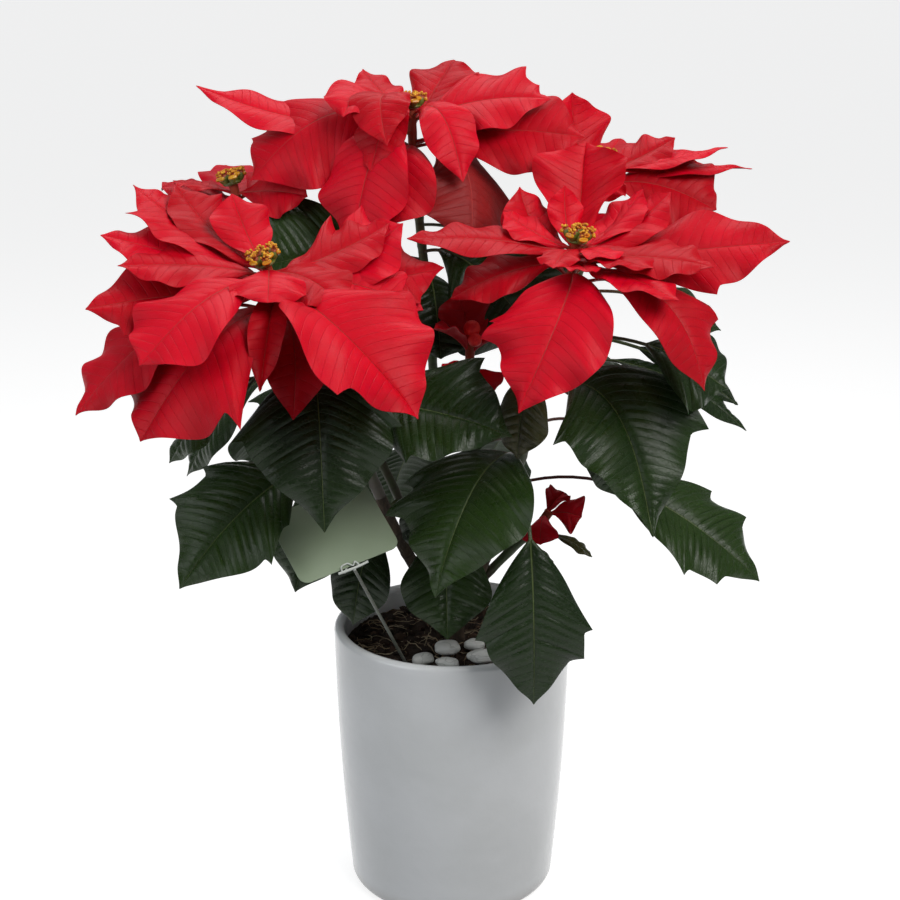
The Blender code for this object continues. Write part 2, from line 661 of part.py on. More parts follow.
def bracts(name, shoot):
    """The red bracts of one bloom, on the end of its stem."""
    centre = shoot.route[-1]
    core = solid(f"bracts_{name}", *core_tube(shoot), "bract", centre)
    blades = [solid("bract", *blade_solid(b, *bract_ends(shoot, b)), "bract", centre) for b in shoot.bracts]
    return combine(core, blades, "UNION")


def stem_tube(shoot):
    """The green stem of a shoot, from the end of its wood up to its bloom."""
    axis = bloom_axis(shoot)
    end = np.array(shoot.route[-1]) - (bloom_depth(shoot) + GAP) * axis
    low = end - STRAIGHT_END * axis
    line = np.vstack([stem_line(shoot, shoot.wood + GAP, low[2] - STRAIGHT_END), low, end])
    return tube(line, np.linspace(wood_radius(shoot), STEM_RADIUS, len(line)), STEM_SIDES)


def leafy_stem(name, shoot):
    """The green stem of one shoot with its leaves, from the wood up to its bracts."""
    stem = solid(f"leafy_stem_{name}", *stem_tube(shoot), "leaf")
    leaves = [solid("leaf", *blade_solid(b, *leaf_ends(shoot, b)), "leaf") for b in shoot.leaves]
    return combine(stem, leaves, "UNION")


def frame_of(axis):
    """Two unit vectors at right angles to an axis and to each other."""
    across = unit(np.cross(axis, (0, 1, 0)))
    return across, np.cross(axis, across)


def flowers(name, shoot):
    """The true flowers in the middle of a bloom: small cups round a low dome, set by the golden angle."""
    axis = bloom_axis(shoot)
    across, third = frame_of(axis)
    centre = shoot.route[-1]
    low = GAP - CORE_TOP
    high = low + RECEPTACLE_HEIGHT
    dome = solid(
        f"flowers_{name}",
        *tube([low * axis, high * axis], (RECEPTACLE_RADIUS - 2, RECEPTACLE_RADIUS), 6),
        "flower",
        centre,
    )
    cups = []
    for k in range(CUPS_PER_BLOOM):
        turn = math.radians(k * GOLDEN_ANGLE)
        outward = across * math.cos(turn) + third * math.sin(turn)
        spread = CUP_SPREAD * math.sqrt(k + 0.3)
        foot = outward * 0.68 * spread + axis * (high - 1)
        lean = unit(axis * CUP_HEIGHT + outward * 0.5 * spread)
        line = [foot, foot + lean * CUP_HEIGHT * 0.65, foot + lean * CUP_HEIGHT]
        radii = [CUP_RADIUS * share for share in (0.5, 1, 0.7)]
        cups.append(solid("cup", *tube(line, radii, 5), "flower", centre))
    return combine(dome, cups, "UNION")


def buds(name, shoot):
    """The two round red buds in the middle of the young bloom, on one short stalk."""
    centre = shoot.route[-1]
    stalk = tube([(0, 0, GAP - CORE_TOP), (0, 0, CORE_TOP)], (BUD_STALK_RADIUS, BUD_STALK_RADIUS), 8)
    stem = solid(f"buds_{name}", *stalk, "bud", centre)
    heads = []
    for middle, radius in BUDS:
        rings = arc((0, middle[2]), radius, -80, 80, 5)
        line = [(*middle[:2], z) for _, z in rings]
        heads.append(solid("bud", *tube(line, [r for r, _ in rings], 8), "bud", centre))
    return combine(stem, heads, "UNION")


def pebble(number, x, y, length, breadth, height, turn):
    """One flat white pebble, lying on the soil."""
    bpy.ops.mesh.primitive_ico_sphere_add(subdivisions=2, radius=MM / 2)
    stone = bpy.context.object
    stone.name = f"pebble_{number}"
    stone.data.transform(Matrix.Diagonal((length, breadth, height, 1)))
    return place(stone, "pebble", (x, y, SOIL_TOP + PEBBLE_LIFT + height / 2), (0, 0, turn))


def box(name, size, colour, location, turn):
    """A cuboid."""
    bpy.ops.mesh.primitive_cube_add(size=MM)
    thing = bpy.context.object
    thing.name = name
    thing.data.transform(Matrix.Diagonal((*size, 1)))
    return place(thing, colour, location, turn)


def card_point(x, z):
    """The point of the card's middle plane at x along its width and z up its depth."""
    turn = Euler([math.radians(angle) for angle in CARD_TURN])
    return np.array(CARD_MIDDLE) + np.array(turn.to_matrix() @ Vector((x, 0, z)))


def stake_ends():
    """The foot of the tag's stake in the soil, and its top under the clip."""
    head = card_point(0, -CARD_SIZE[2] / 2 - CLIP_SIZE[2] + CLIP_GRIP - STAKE_RADIUS)
    surface = np.array((*STAKE_FOOT, SOIL_TOP))
    return surface - unit(head - surface) * STAKE_HOLE_DEPTH, head


def tag():
    """The blank card, the white clip that holds its lower edge, and the stake that carries the clip."""
    width, thickness, depth = CARD_SIZE
    box("tag_card", CARD_SIZE, "card", CARD_MIDDLE, CARD_TURN)
    clip_top = CLIP_GRIP - depth / 2
    clip = box("tag_clip", CLIP_SIZE, "clip", card_point(0, clip_top - CLIP_SIZE[2] / 2), CARD_TURN)
    slot_size = (width, thickness + 2 * GAP, 2 * (CLIP_GRIP + GAP))
    slot = box("slot", slot_size, "clip", card_point(0, clip_top), CARD_TURN)
    combine(clip, [slot], "DIFFERENCE")
    foot, head = stake_ends()
    solid("tag_stake", *tube([foot, head], (STAKE_RADIUS, STAKE_RADIUS), 8), "stake")


def main():
    clear_scene()
    pot()
    soil()
    trunk()
    for name, shoot in SHOOTS.items():
        leafy_stem(name, shoot)
        bracts(name, shoot)
        if name == "young":
            buds(name, shoot)
        elif name != "side":
            flowers(name, shoot)
    for number, values in enumerate(PEBBLES, 1):
        pebble(number, *values)
    tag()
    plant = bpy.data.objects.new("poinsettia", None)
    nodes = list(bpy.context.collection.objects)
    bpy.context.collection.objects.link(plant)
    for node in nodes:
        node.parent = plant


main()
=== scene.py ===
"""Poinsettia in a glazed pot: its looks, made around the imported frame.

Sizes are in millimetres and become metres where a mesh is made. The origin is the middle of the pot's
flat base and the front is -Y. A heading is a compass direction seen from above: 0 is the front, 90 the
right, 180 the back and 270 the left.
"""

import math
from typing import NamedTuple

import bpy
import numpy as np
from mathutils import Euler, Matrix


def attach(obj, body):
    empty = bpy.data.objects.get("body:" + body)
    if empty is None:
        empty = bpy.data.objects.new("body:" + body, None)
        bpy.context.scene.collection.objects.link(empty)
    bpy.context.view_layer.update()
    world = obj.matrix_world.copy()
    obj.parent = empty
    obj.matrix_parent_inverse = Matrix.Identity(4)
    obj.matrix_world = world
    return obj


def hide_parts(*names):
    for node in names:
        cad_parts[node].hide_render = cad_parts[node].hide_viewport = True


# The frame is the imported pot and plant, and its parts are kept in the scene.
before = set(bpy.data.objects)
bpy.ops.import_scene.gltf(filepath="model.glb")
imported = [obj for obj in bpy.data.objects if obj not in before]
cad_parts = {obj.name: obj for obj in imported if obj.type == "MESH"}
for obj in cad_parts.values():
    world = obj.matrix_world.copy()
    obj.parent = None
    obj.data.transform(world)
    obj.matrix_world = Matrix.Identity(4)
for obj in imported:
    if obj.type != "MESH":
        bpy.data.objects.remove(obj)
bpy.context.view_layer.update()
MM = 0.001


# The camera stands in front of the pot at the height of the blooms and looks down a little, so that
# the pot's foot meets the lower edge of the picture.
CAMERA_PLACE = (-1.5, -1194.2, 705.6)
CAMERA_PITCH = 16.7
CAMERA_LENS = 67.16

camera = bpy.data.objects.new("camera", bpy.data.cameras.new("camera"))
camera.data.lens = CAMERA_LENS
camera.data.clip_start = 0.05
camera.location = [c * MM for c in CAMERA_PLACE]
camera.rotation_euler = (math.radians(90 - CAMERA_PITCH), 0, 0)
bpy.context.scene.collection.objects.link(camera)
bpy.context.scene.camera = camera
bpy.context.scene.view_settings.view_transform = "Standard"


# The room is a plain pale floor that runs back without an edge, under soft studio light: one large
# bright panel above and to the right, a weaker one on the left and an even glow all round.
FLOOR_RADIUS = 60000
FLOOR_DROP = 0.2
FLOOR_SIDES = 96
FLOOR_COLOUR = (0.45, 0.45, 0.45)
FLOOR_LIFT = 1.75
GLOW_COLOUR = (0.93, 0.96, 1.0)
GLOW_STRENGTH = 0.155
AIM = (0, 0, 380)
# Each panel as its place, its width and height, its power in watts and its colour.
PANELS = (
    ((900, -900, 1700), (1300, 1100), 25, (1.0, 0.985, 0.96)),
    ((-1300, -900, 1100), (1200, 1200), 8.5, (0.95, 0.98, 1.0)),
    ((-100, 900, 1900), (1500, 900), 12, (1.0, 1.0, 1.0)),
)


class Value:
    """One socket that gives a number at each point of a surface. Sums on it add their Math nodes."""

    def __init__(self, finish, socket):
        self.finish = finish
        self.socket = socket

    def sum(self, operation, *others):
        sockets = dict(enumerate((self, *others)))
        return self.finish.node("Math", sockets, operation=operation)

    def turned_sum(self, operation, other):
        return self.finish.node("Math", {0: other, 1: self}, operation=operation)

    def __add__(self, other):
        return self.sum("ADD", other)

    __radd__ = __add__

    def __mul__(self, other):
        return self.sum("MULTIPLY", other)

    __rmul__ = __mul__

    def __sub__(self, other):
        return self.sum("SUBTRACT", other)

    def __rsub__(self, other):
        return self.turned_sum("SUBTRACT", other)

    def __truediv__(self, other):
        return self.sum("DIVIDE", other)

    def __abs__(self):
        return self.sum("ABSOLUTE")

    def part(self):
        """What is left of the number above the whole number under it."""
        return self.sum("FRACT")

    def rise(self, low, high):
        """0 under the low number, 1 over the high one, and a smooth step between them."""
        sockets = {"Value": self, "From Min": low, "From Max": high}
        return self.finish.node("MapRange", sockets, interpolation_type="SMOOTHSTEP")


class Finish:
    """A material with one Principled shader, and the one way in which its other nodes are added."""

    def __init__(self, name, colour, roughness, **constants):
        self.material = bpy.data.materials.new(name)
        self.material.use_nodes = True
        self.material.diffuse_color = (*colour, 1)
        self.tree = self.material.node_tree
        self.shader = self.tree.nodes["Principled BSDF"]
        self.feed("Base Color", colour)
        self.feed("Roughness", roughness)
        for socket, value in constants.items():
            self.feed(socket.replace("_", " ").title().replace("Ior", "IOR"), value)

    def node(self, kind, sockets, output=0, **settings):
        """Adds a node, then its settings, then the values or links of its sockets. Gives one output."""
        made = self.tree.nodes.new("ShaderNode" + kind)
        for setting, value in settings.items():
            setattr(made, setting, value)
        for socket, value in sockets.items():
            self.join(made.inputs[socket], value)
        return Value(self, made.outputs[output])

    def join(self, socket, value):
        if isinstance(value, Value):
            self.tree.links.new(value.socket, socket)
        elif socket.type == "RGBA":
            socket.default_value = (*value, 1)
        else:
            socket.default_value = value

    def feed(self, socket, value):
        """A value or a link for one socket of the shader."""
        self.join(self.shader.inputs[socket], value)

    def mark(self, name):
        """The number that the mesh carries at each of its points under this name."""
        return self.node("Attribute", {}, "Fac", attribute_name=name)

    def point(self, stretch=(1, 1, 1)):
        """The place on the object, stretched along its axes."""
        place = self.node("TexCoord", {}, "Object")
        return self.node("Mapping", {"Vector": place, "Scale": stretch})

    def noise(self, size, detail=3, stretch=(1, 1, 1)):
        """A cloudy pattern from 0 to 1 whose lumps are about this many millimetres."""
        sockets = {"Vector": self.point(stretch), "Scale": 1 / (size * MM), "Detail": detail}
        return self.node("TexNoise", sockets)

    def cells(self, size):
        """The distance to the nearest border between cells of about this many millimetres."""
        sockets = {"Vector": self.point(), "Scale": 1 / (size * MM)}
        return self.node("TexVoronoi", sockets, feature="DISTANCE_TO_EDGE")

    def mix(self, share, first, second):
        """A colour between two: the first where the share is 0, the second where it is 1."""
        sockets = {0: share, 6: first, 7: second}
        return self.node("Mix", sockets, 2, data_type="RGBA", clamp_factor=True)

    def bump(self, height, depth):
        """Relief from a height of 0 to 1 that stands for this many millimetres."""
        sockets = {"Strength": 1.0, "Distance": depth * MM, "Height": height}
        self.feed("Normal", self.node("Bump", sockets))


def closed(grids):
    """Closed shells from grids of values: (count, rows, points round, x y z and what else they carry).

    Each row is a ring that closes on itself. The first and last rings are filled with a fan round
    their middle. A shell whose volume comes out negative has its faces turned round.
    """
    count, rows, around, width = grids.shape
    ends = np.stack([grids[:, 0].mean(1), grids[:, -1].mean(1)], 1)
    values = np.concatenate([grids.reshape(count, rows * around, width), ends], 1)
    here = np.arange(around)
    ahead = (here + 1) % around
    row = np.arange(rows - 1)[:, None] * around
    quads = np.stack([row + here, row + ahead, row + around + ahead, row + around + here], -1)
    quads = quads.reshape(-1, 4)
    last = (rows - 1) * around
    first_fan = np.stack([ahead, here, np.full(around, rows * around)], -1)
    last_fan = np.stack([last + here, last + ahead, np.full(around, rows * around + 1)], -1)
    fans = np.vstack([first_fan, last_fan])
    corners = np.vstack([quads[:, [0, 1, 2]], quads[:, [0, 2, 3]], fans])
    volume = np.linalg.det(values[:, corners, :3]).sum(1)
    offset = (np.arange(count) * (rows * around + 2))[:, None, None]
    inside_out = (volume < 0)[:, None, None]
    quads = np.where(inside_out, quads[:, ::-1], quads) + offset
    fans = np.where(inside_out, fans[:, ::-1], fans) + offset
    return values.reshape(-1, width), quads.reshape(-1, 4), fans.reshape(-1, 3)


def piece(name, shells, finish, slot, *nodes, marks=(), sharp=40):
    """One mesh object from closed shells, with what its points carry, set on the frame."""
    offsets = np.cumsum([0, *(len(values) for values, _, _ in shells)])
    values = np.concatenate([values for values, _, _ in shells])
    quads = np.concatenate([quads + at for (_, quads, _), at in zip(shells, offsets)])
    fans = np.concatenate([fans + at for (_, _, fans), at in zip(shells, offsets)])
    corners = np.concatenate([quads.ravel(), fans.ravel()])
    starts = np.concatenate([np.arange(len(quads)) * 4, quads.size + np.arange(len(fans)) * 3])
    mesh = bpy.data.meshes.new(name)
    mesh.vertices.add(len(values))
    mesh.vertices.foreach_set("co", (values[:, :3] * MM).astype(np.float32).ravel())
    mesh.loops.add(len(corners))
    mesh.loops.foreach_set("vertex_index", corners.astype(np.int32))
    mesh.polygons.add(len(starts))
    mesh.polygons.foreach_set("loop_start", starts.astype(np.int32))
    mesh.update(calc_edges=True)
    for column, mark in enumerate(marks, 3):
        carried = mesh.attributes.new(mark, "FLOAT", "POINT")
        carried.data.foreach_set("value", values[:, column].astype(np.float32))
    mesh.shade_smooth()
    mesh.set_sharp_from_angle(angle=math.radians(sharp))
    mesh.materials.append(finish.material)
    made = bpy.data.objects.new(name, mesh)
    bpy.context.scene.collection.objects.link(made)
    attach(made, "root")
    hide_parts(*nodes)
    return made


floor_finish = Finish("pale_floor", FLOOR_COLOUR, 0.7)
floor_finish.feed("Roughness", floor_finish.noise(300) * 0.1 + 0.65)
floor_finish.feed("Emission Color", FLOOR_COLOUR)
floor_finish.feed("Emission Strength", FLOOR_LIFT)
turn = np.arange(FLOOR_SIDES) * 2 * math.pi / FLOOR_SIDES
floor_mesh = bpy.data.meshes.new("floor")
rim = np.stack([np.cos(turn), np.sin(turn), 0 * turn], -1) * FLOOR_RADIUS * MM
rim[:, 2] = -FLOOR_DROP * MM
floor_mesh.from_pydata(rim.tolist(), [], [tuple(range(FLOOR_SIDES))])
floor_mesh.materials.append(floor_finish.material)
floor = bpy.data.objects.new("floor", floor_mesh)
bpy.context.scene.collection.objects.link(floor)
floor.visible_diffuse = False

world = bpy.data.worlds.new("studio_glow")
world.use_nodes = True
world.node_tree.nodes["Background"].inputs["Color"].default_value = (*GLOW_COLOUR, 1)
world.node_tree.nodes["Background"].inputs["Strength"].default_value = GLOW_STRENGTH
bpy.context.scene.world = world
for number, (place, (width, height), power, colour) in enumerate(PANELS, 1):
    panel = bpy.data.lights.new(f"panel_{number}", "AREA")
    panel.shape = "RECTANGLE"
    panel.size = width * MM
    panel.size_y = height * MM
    panel.energy = power
    panel.color = colour
    lamp = bpy.data.objects.new(f"panel_{number}", panel)
    lamp.location = [c * MM for c in place]
    aim = np.array(AIM) - place
    lamp.rotation_euler = (
        math.atan2(math.hypot(aim[0], aim[1]), -aim[2]), 0, math.atan2(aim[1], aim[0]) - math.pi / 2,
    )
    bpy.context.scene.collection.objects.link(lamp)


# The pot is one turned or slip-cast piece of stoneware under a thick, soft white glaze. The glaze
# is drawn back from the foot, where the bare grey clay stands on the floor.
POT_HEIGHT = 211
RIM_RADIUS = 90
BASE_RADIUS = 78.6
POT_BULGE = 2.2
POT_WALL = 8
POT_FLOOR = 12
LIP_RADIUS = 4
FOOT_RADIUS = 8
POT_SIDES = 144
GLAZE_LINE = 2.2
GLAZE_COLOUR = (0.85, 0.87, 0.89)
GLAZE_SHADE = (0.79, 0.81, 0.82)
CLAY_COLOUR = (0.36, 0.31, 0.26)


def pot_radius(height):
    """The pot's outer radius at a height: a straight taper with a slight belly."""
    share = height / POT_HEIGHT
    return BASE_RADIUS + (RIM_RADIUS - BASE_RADIUS) * share + POT_BULGE * np.sin(math.pi * share)


def turned(profile, sides):
    """A shell turned round the pot's axis from rows of (radius, height)."""
    profile = np.array(profile, float)
    turn = np.arange(sides) * 2 * math.pi / sides
    radius, height = profile[:, :1], profile[:, 1:]
    rings = np.stack([radius * np.cos(turn), radius * np.sin(turn), height + 0 * turn], -1)
    return closed(rings[None])


def arc(middle, radius, start, end, steps):
    """Rows (radius, height) on an arc from a start angle to an end angle in degrees."""
    angles = np.radians(np.linspace(start, end, steps))
    return np.stack([middle[0] + radius * np.cos(angles), middle[1] + radius * np.sin(angles)], -1)


inside = np.linspace(POT_FLOOR, POT_HEIGHT - LIP_RADIUS, 24)
inner_radius = np.minimum(pot_radius(inside) - POT_WALL, RIM_RADIUS - 2 * LIP_RADIUS)
wall = np.linspace(POT_HEIGHT - 9, FOOT_RADIUS, 44)
pot_profile = np.vstack([
    [(1, POT_FLOOR)],
    np.stack([inner_radius, inside], -1),
    arc((RIM_RADIUS - LIP_RADIUS, POT_HEIGHT - LIP_RADIUS), LIP_RADIUS, 165, 0, 11),
    np.stack([pot_radius(wall), wall], -1),
    arc((pot_radius(FOOT_RADIUS) - FOOT_RADIUS, FOOT_RADIUS), FOOT_RADIUS, -12, -90, 9),
    [(1, 0)],
])

glaze = Finish("white_glaze", GLAZE_COLOUR, 0.2, coat_weight=0.35, coat_roughness=0.08, ior=1.52)
height = glaze.node("SeparateXYZ", {0: glaze.point()}, "Z") / MM
cloud = glaze.noise(70, 4)
glazed = glaze.mix(cloud.rise(0.35, 0.7), GLAZE_COLOUR, GLAZE_SHADE)
glazed = glaze.mix((1 - height.rise(2, 16)) * 0.35, glazed, CLAY_COLOUR)
bare = 1 - (height + glaze.noise(14) * 1.5).rise(GLAZE_LINE, GLAZE_LINE + 1)
glaze.feed("Base Color", glaze.mix(bare, glazed, CLAY_COLOUR))
glaze.feed("Roughness", glaze.noise(30) * 0.1 + 0.16 + bare * 0.5)
glaze.feed("Coat Weight", (1 - bare) * 0.35)
glaze.bump(glaze.noise(26, 2) * 0.8 + glaze.noise(2.5, 2) * 0.06, 0.9)
piece("glazed_pot", [turned(pot_profile, POT_SIDES)], glaze, "pot", "pot")


# The soil is dark peat with bits of brown bark and pale root fibres, pressed down a little under
# the rim. It fills the pot.
SOIL_TOP = 193
SOIL_RELIEF = 1.6
SOIL_GAP = 0.3
CRUMB_COUNT = 520
CRUMB_SIZE = (1.6, 4.6)
CRUMB_REACH = 77
FIBRE_COUNT = 130
FIBRE_RADIUS = 0.32
FIBRE_LENGTH = (8, 30)
FIBRE_REACH = 70
FIBRE_LIMIT = 78
BED_SIDES = 160
SOIL_COLOURS = ((0.020, 0.012, 0.008), (0.075, 0.040, 0.024))
FIBRE_COLOURS = ((0.20, 0.13, 0.07), (0.46, 0.38, 0.26))
SOIL_MARKS = ("tone",)
soil_random = np.random.default_rng(7)


def ripples(x, y, size, seed):
    """Smooth unevenness from -1 to 1: the mean of twelve level waves of chance headings and phases."""
    chance = np.random.default_rng(seed)
    heading = chance.uniform(0, 2 * math.pi, 12)
    length = size * chance.uniform(0.6, 1.7, 12)
    phase = chance.uniform(0, 2 * math.pi, 12)
    run = x[..., None] * np.cos(heading) + y[..., None] * np.sin(heading)
    return np.sin(2 * math.pi * run / length + phase).sum(-1) / 4


def soil_height(x, y):
    """The soil's surface: the low waves of the solid soil, with small lumps on them."""
    radius = np.hypot(x, y)
    turn = np.arctan2(y, x)
    fade = np.sin(math.pi * np.minimum(radius / (RIM_RADIUS - POT_WALL), 1))
    waves = np.sin(0.19 * radius + 3 * turn) * np.cos(0.11 * radius - 5 * turn)
    lumps = 0.9 * ripples(x, y, 14, 1) + 0.7 * ripples(x, y, 5, 2)
    return SOIL_TOP + SOIL_RELIEF * fade * waves + lumps


def spun(turns):
    """Turning matrices for rows of (turn about X, turn about Z), in radians."""
    a, b = turns[:, 0], turns[:, 1]
    zero, one = 0 * a, 1 + 0 * a
    tilt = np.stack([one, zero, zero, zero, np.cos(a), -np.sin(a), zero, np.sin(a), np.cos(a)], -1)
    swing = np.stack([np.cos(b), -np.sin(b), zero, np.sin(b), np.cos(b), zero, zero, zero, one], -1)
    return swing.reshape(-1, 3, 3) @ tilt.reshape(-1, 3, 3)


def carrying(points, *values):
    """Points with more numbers behind their x, y and z, each as an array that fits the grid."""
    return np.concatenate([points, *(np.broadcast_to(v, points.shape[:-1])[..., None] for v in values)], -1)


edge = pot_radius(SOIL_TOP) - POT_WALL - SOIL_GAP
low = np.linspace(POT_FLOOR + SOIL_GAP, SOIL_TOP - 3, 12)
profile = np.vstack([
    [(1, POT_FLOOR + SOIL_GAP)],
    np.stack([pot_radius(low) - POT_WALL - SOIL_GAP, low], -1),
    np.stack([np.linspace(edge, 1, 64), np.full(64, SOIL_TOP)], -1),
])
turn = np.arange(BED_SIDES) * 2 * math.pi / BED_SIDES
x, y = profile[:, :1] * np.cos(turn), profile[:, :1] * np.sin(turn)
level = np.where(profile[:, 1:] < SOIL_TOP, profile[:, 1:] + 0 * turn, soil_height(x, y))
bed = closed(carrying(np.stack([x, y, level], -1), 0.35)[None])

reach = CRUMB_REACH * np.sqrt(soil_random.uniform(0.005, 1, CRUMB_COUNT))
around = soil_random.uniform(0, 2 * math.pi, CRUMB_COUNT)
x, y = reach * np.cos(around), reach * np.sin(around)
sizes = soil_random.uniform(*CRUMB_SIZE, CRUMB_COUNT)
rows = np.array((0.35, 1.0, 0.95, 0.3))
turn = np.arange(6) * math.pi / 3
ring = np.stack([np.cos(turn), np.sin(turn)], -1)
shape = rows[:, None, None] * ring * soil_random.uniform(0.55, 1.25, (CRUMB_COUNT, 4, 6, 1))
upright = np.broadcast_to(np.array((-0.5, -0.2, 0.25, 0.5))[:, None, None], (CRUMB_COUNT, 4, 6, 1))
squash = soil_random.uniform(0.3, 0.8, (CRUMB_COUNT, 1, 1, 1))
crumb = np.concatenate([shape * (1, 0.7), upright * squash * 2], -1) * sizes[:, None, None, None]
crumb = crumb @ spun(soil_random.uniform(-0.7, 6.2, (CRUMB_COUNT, 2)) * (0.12, 1))[:, None]
crumb += np.stack([x, y, soil_height(x, y) + 0.2 * sizes], -1)[:, None, None]
tones = soil_random.uniform(0, 1, CRUMB_COUNT)[:, None, None] ** 1.6
crumbs = closed(carrying(crumb, tones))

soil_finish = Finish("potting_soil", SOIL_COLOURS[0], 0.95)
tone = soil_finish.mark("tone") + soil_finish.noise(4) * 0.5 - 0.25
colour = soil_finish.mix(tone.rise(0, 1), *SOIL_COLOURS)
soil_finish.feed("Base Color", colour)
soil_finish.bump(soil_finish.noise(1.2, 5), 0.8)
piece("soil_bed", [bed, crumbs], soil_finish, "soil", "soil", marks=SOIL_MARKS)

along = np.linspace(-0.5, 0.5, 9)
lengths = soil_random.uniform(*FIBRE_LENGTH, FIBRE_COUNT)
heading = soil_random.uniform(0, 2 * math.pi, FIBRE_COUNT)
reach = FIBRE_REACH * np.sqrt(soil_random.uniform(0.02, 1, FIBRE_COUNT))
around = soil_random.uniform(0, 2 * math.pi, FIBRE_COUNT)
bend = soil_random.uniform(-9, 9, (FIBRE_COUNT, 1)) * (1 - 4 * along**2)
run = lengths[:, None] * along
x = (reach * np.cos(around))[:, None] + run * np.cos(heading)[:, None] - bend * np.sin(heading)[:, None]
y = (reach * np.sin(around))[:, None] + run * np.sin(heading)[:, None] + bend * np.cos(heading)[:, None]
inward = np.minimum(1, FIBRE_LIMIT / np.hypot(x, y))
x, y = x * inward, y * inward
lift = soil_random.uniform(0.5, 3.4, (FIBRE_COUNT, 1)) * (1 - 3 * along**2)
line = np.stack([x, y, soil_height(x, y) + 0.6 + lift], -1)
turn = np.arange(5) * 2 * math.pi / 5
side = np.stack([-np.sin(heading), np.cos(heading), 0 * heading], -1)[:, None, None]
hoop = side * np.cos(turn)[:, None] + np.array((0, 0, 1)) * np.sin(turn)[:, None]
slimmer = (1.1 - 1.4 * along**2)[:, None, None]
thick = FIBRE_RADIUS * soil_random.uniform(0.6, 1.4, (FIBRE_COUNT, 1, 1, 1)) * slimmer
fibres = closed(carrying(line[:, :, None] + hoop * thick, soil_random.uniform(0, 1, (FIBRE_COUNT, 1, 1))))
fibre_finish = Finish("root_fibre", FIBRE_COLOURS[0], 0.8)
fibre_finish.feed("Base Color", fibre_finish.mix(fibre_finish.mark("tone"), *FIBRE_COLOURS))
fibre_finish.bump(fibre_finish.noise(1), 0.2)
piece("soil_fibres", [fibres], fibre_finish, "soil", marks=SOIL_MARKS)


# The pebbles are flat river stones, tumbled smooth and nearly white, laid on the soil round the
# stem as a mulch.
PEBBLE_LIFT = 2
# Each as (x, y, length, breadth, height, turn).
PEBBLES = (
    (-22, -46, 17, 13, 9, 20),
    (-3, -52, 18, 12, 8, -15),
    (-3, -26, 21, 17, 10, 10),
    (17, -20, 16, 12, 9, -30),
    (24, -42, 26, 15, 10, 15),
    (42, -20, 18, 14, 9, 40),
    (38, 8, 17, 13, 9, 70),
)
PEBBLE_COLOURS = ((0.72, 0.74, 0.71), (0.88, 0.89, 0.87))

stone = Finish("river_stone", PEBBLE_COLOURS[0], 0.55)
cloud = stone.noise(9, 5)
band = abs(stone.noise(16, 2, (1, 1, 3)) - 0.5)
colour = stone.mix(cloud.rise(0.3, 0.7), *PEBBLE_COLOURS)
colour = stone.mix((1 - band.rise(0.0, 0.025)) * 0.4, colour, (0.30, 0.31, 0.29))
stone.feed("Base Color", colour)
stone.feed("Roughness", cloud * 0.2 + 0.4)
stone.bump(stone.noise(1.5, 5) * 0.6 + cloud, 0.25)


def pebble(number, x, y, length, breadth, height, turn):
    """A flattened ball whose girth is a rounded box, with a chance unevenness.

    A point at latitude u and longitude v lies at cos(u) times the girth in v, and at a height of
    sin(u) to the power 0.8, so that the top and the base are flatter than an egg's.
    """
    u = np.linspace(-math.pi / 2 + 0.06, math.pi / 2 - 0.06, 22)[:, None]
    v = np.arange(36) * 2 * math.pi / 36
    girth = (np.abs(np.cos(v)) ** 2.6 + np.abs(np.sin(v)) ** 2.6) ** (-1 / 2.6)
    girth = girth * (1 + 0.07 * np.cos(v + number) - 0.06 * np.cos(2 * v + 2 * number))
    flat = np.abs(np.sin(u)) ** 0.8 * np.sign(u)
    cosine = np.cos(u) ** 0.9
    shape = np.stack([cosine * girth * np.cos(v), cosine * girth * np.sin(v), flat + 0 * v], -1)
    uneven = 1 + 0.05 * ripples(shape[..., 0], shape[..., 1] + shape[..., 2], 1.6, number)
    shape = shape * uneven[..., None] * np.array((length, breadth, height)) * 0.47
    a = math.radians(turn)
    spin = np.array(((math.cos(a), math.sin(a), 0), (-math.sin(a), math.cos(a), 0), (0, 0, 1)))
    return closed((shape @ spin + (x, y, SOIL_TOP + PEBBLE_LIFT + height / 2))[None])


for number, values in enumerate(PEBBLES, 1):
    piece(f"river_pebble_{number}", [pebble(number, *values)], stone, "pebble", f"pebble_{number}")


# The plant is one bush. Its woody trunk forks just above the soil into seven shoots, each with its
# green stem, its leaves in a spiral, and its red bracts round the true flowers at the top.
class Blade(NamedTuple):
    """One leaf or bract, as the frame's solids have it.

    Its tip lies the reach away along the heading, and the drop lower. A bract's drop is counted from
    the bloom's centre, and its root is how far under that centre it leaves the stem. A leaf's drop is
    counted from its root, which is the height at which it leaves the stem. It sets out at the rise, and
    sway turns that start aside. Arch is how far it keeps to that start before it bends down, as a share
    of the way to its tip. Roll lowers its right half, seen from its root. Each half rises from the
    midrib by the fold and bends down by the curl. The stalk, the widest place and the teeth of each
    edge are shares of its length, and a tooth stands out by a share of the half width.
    """

    heading: float
    reach: float
    drop: float
    width: float
    root: float
    rise: float = 20
    roll: float = 0
    fold: float = 12
    curl: float = 30
    stalk: float = 0.12
    widest: float = 0.45
    taper: float = 1.1
    left: tuple = ()
    right: tuple = ()
    tooth: float = 0.2
    sway: float = 0
    arch: float = 0.5


class Shoot(NamedTuple):
    """One shoot: its stem's route up to the bloom's centre, the height of its wood's end, and its blades."""

    route: tuple
    wood: float
    leaves: tuple
    bracts: tuple


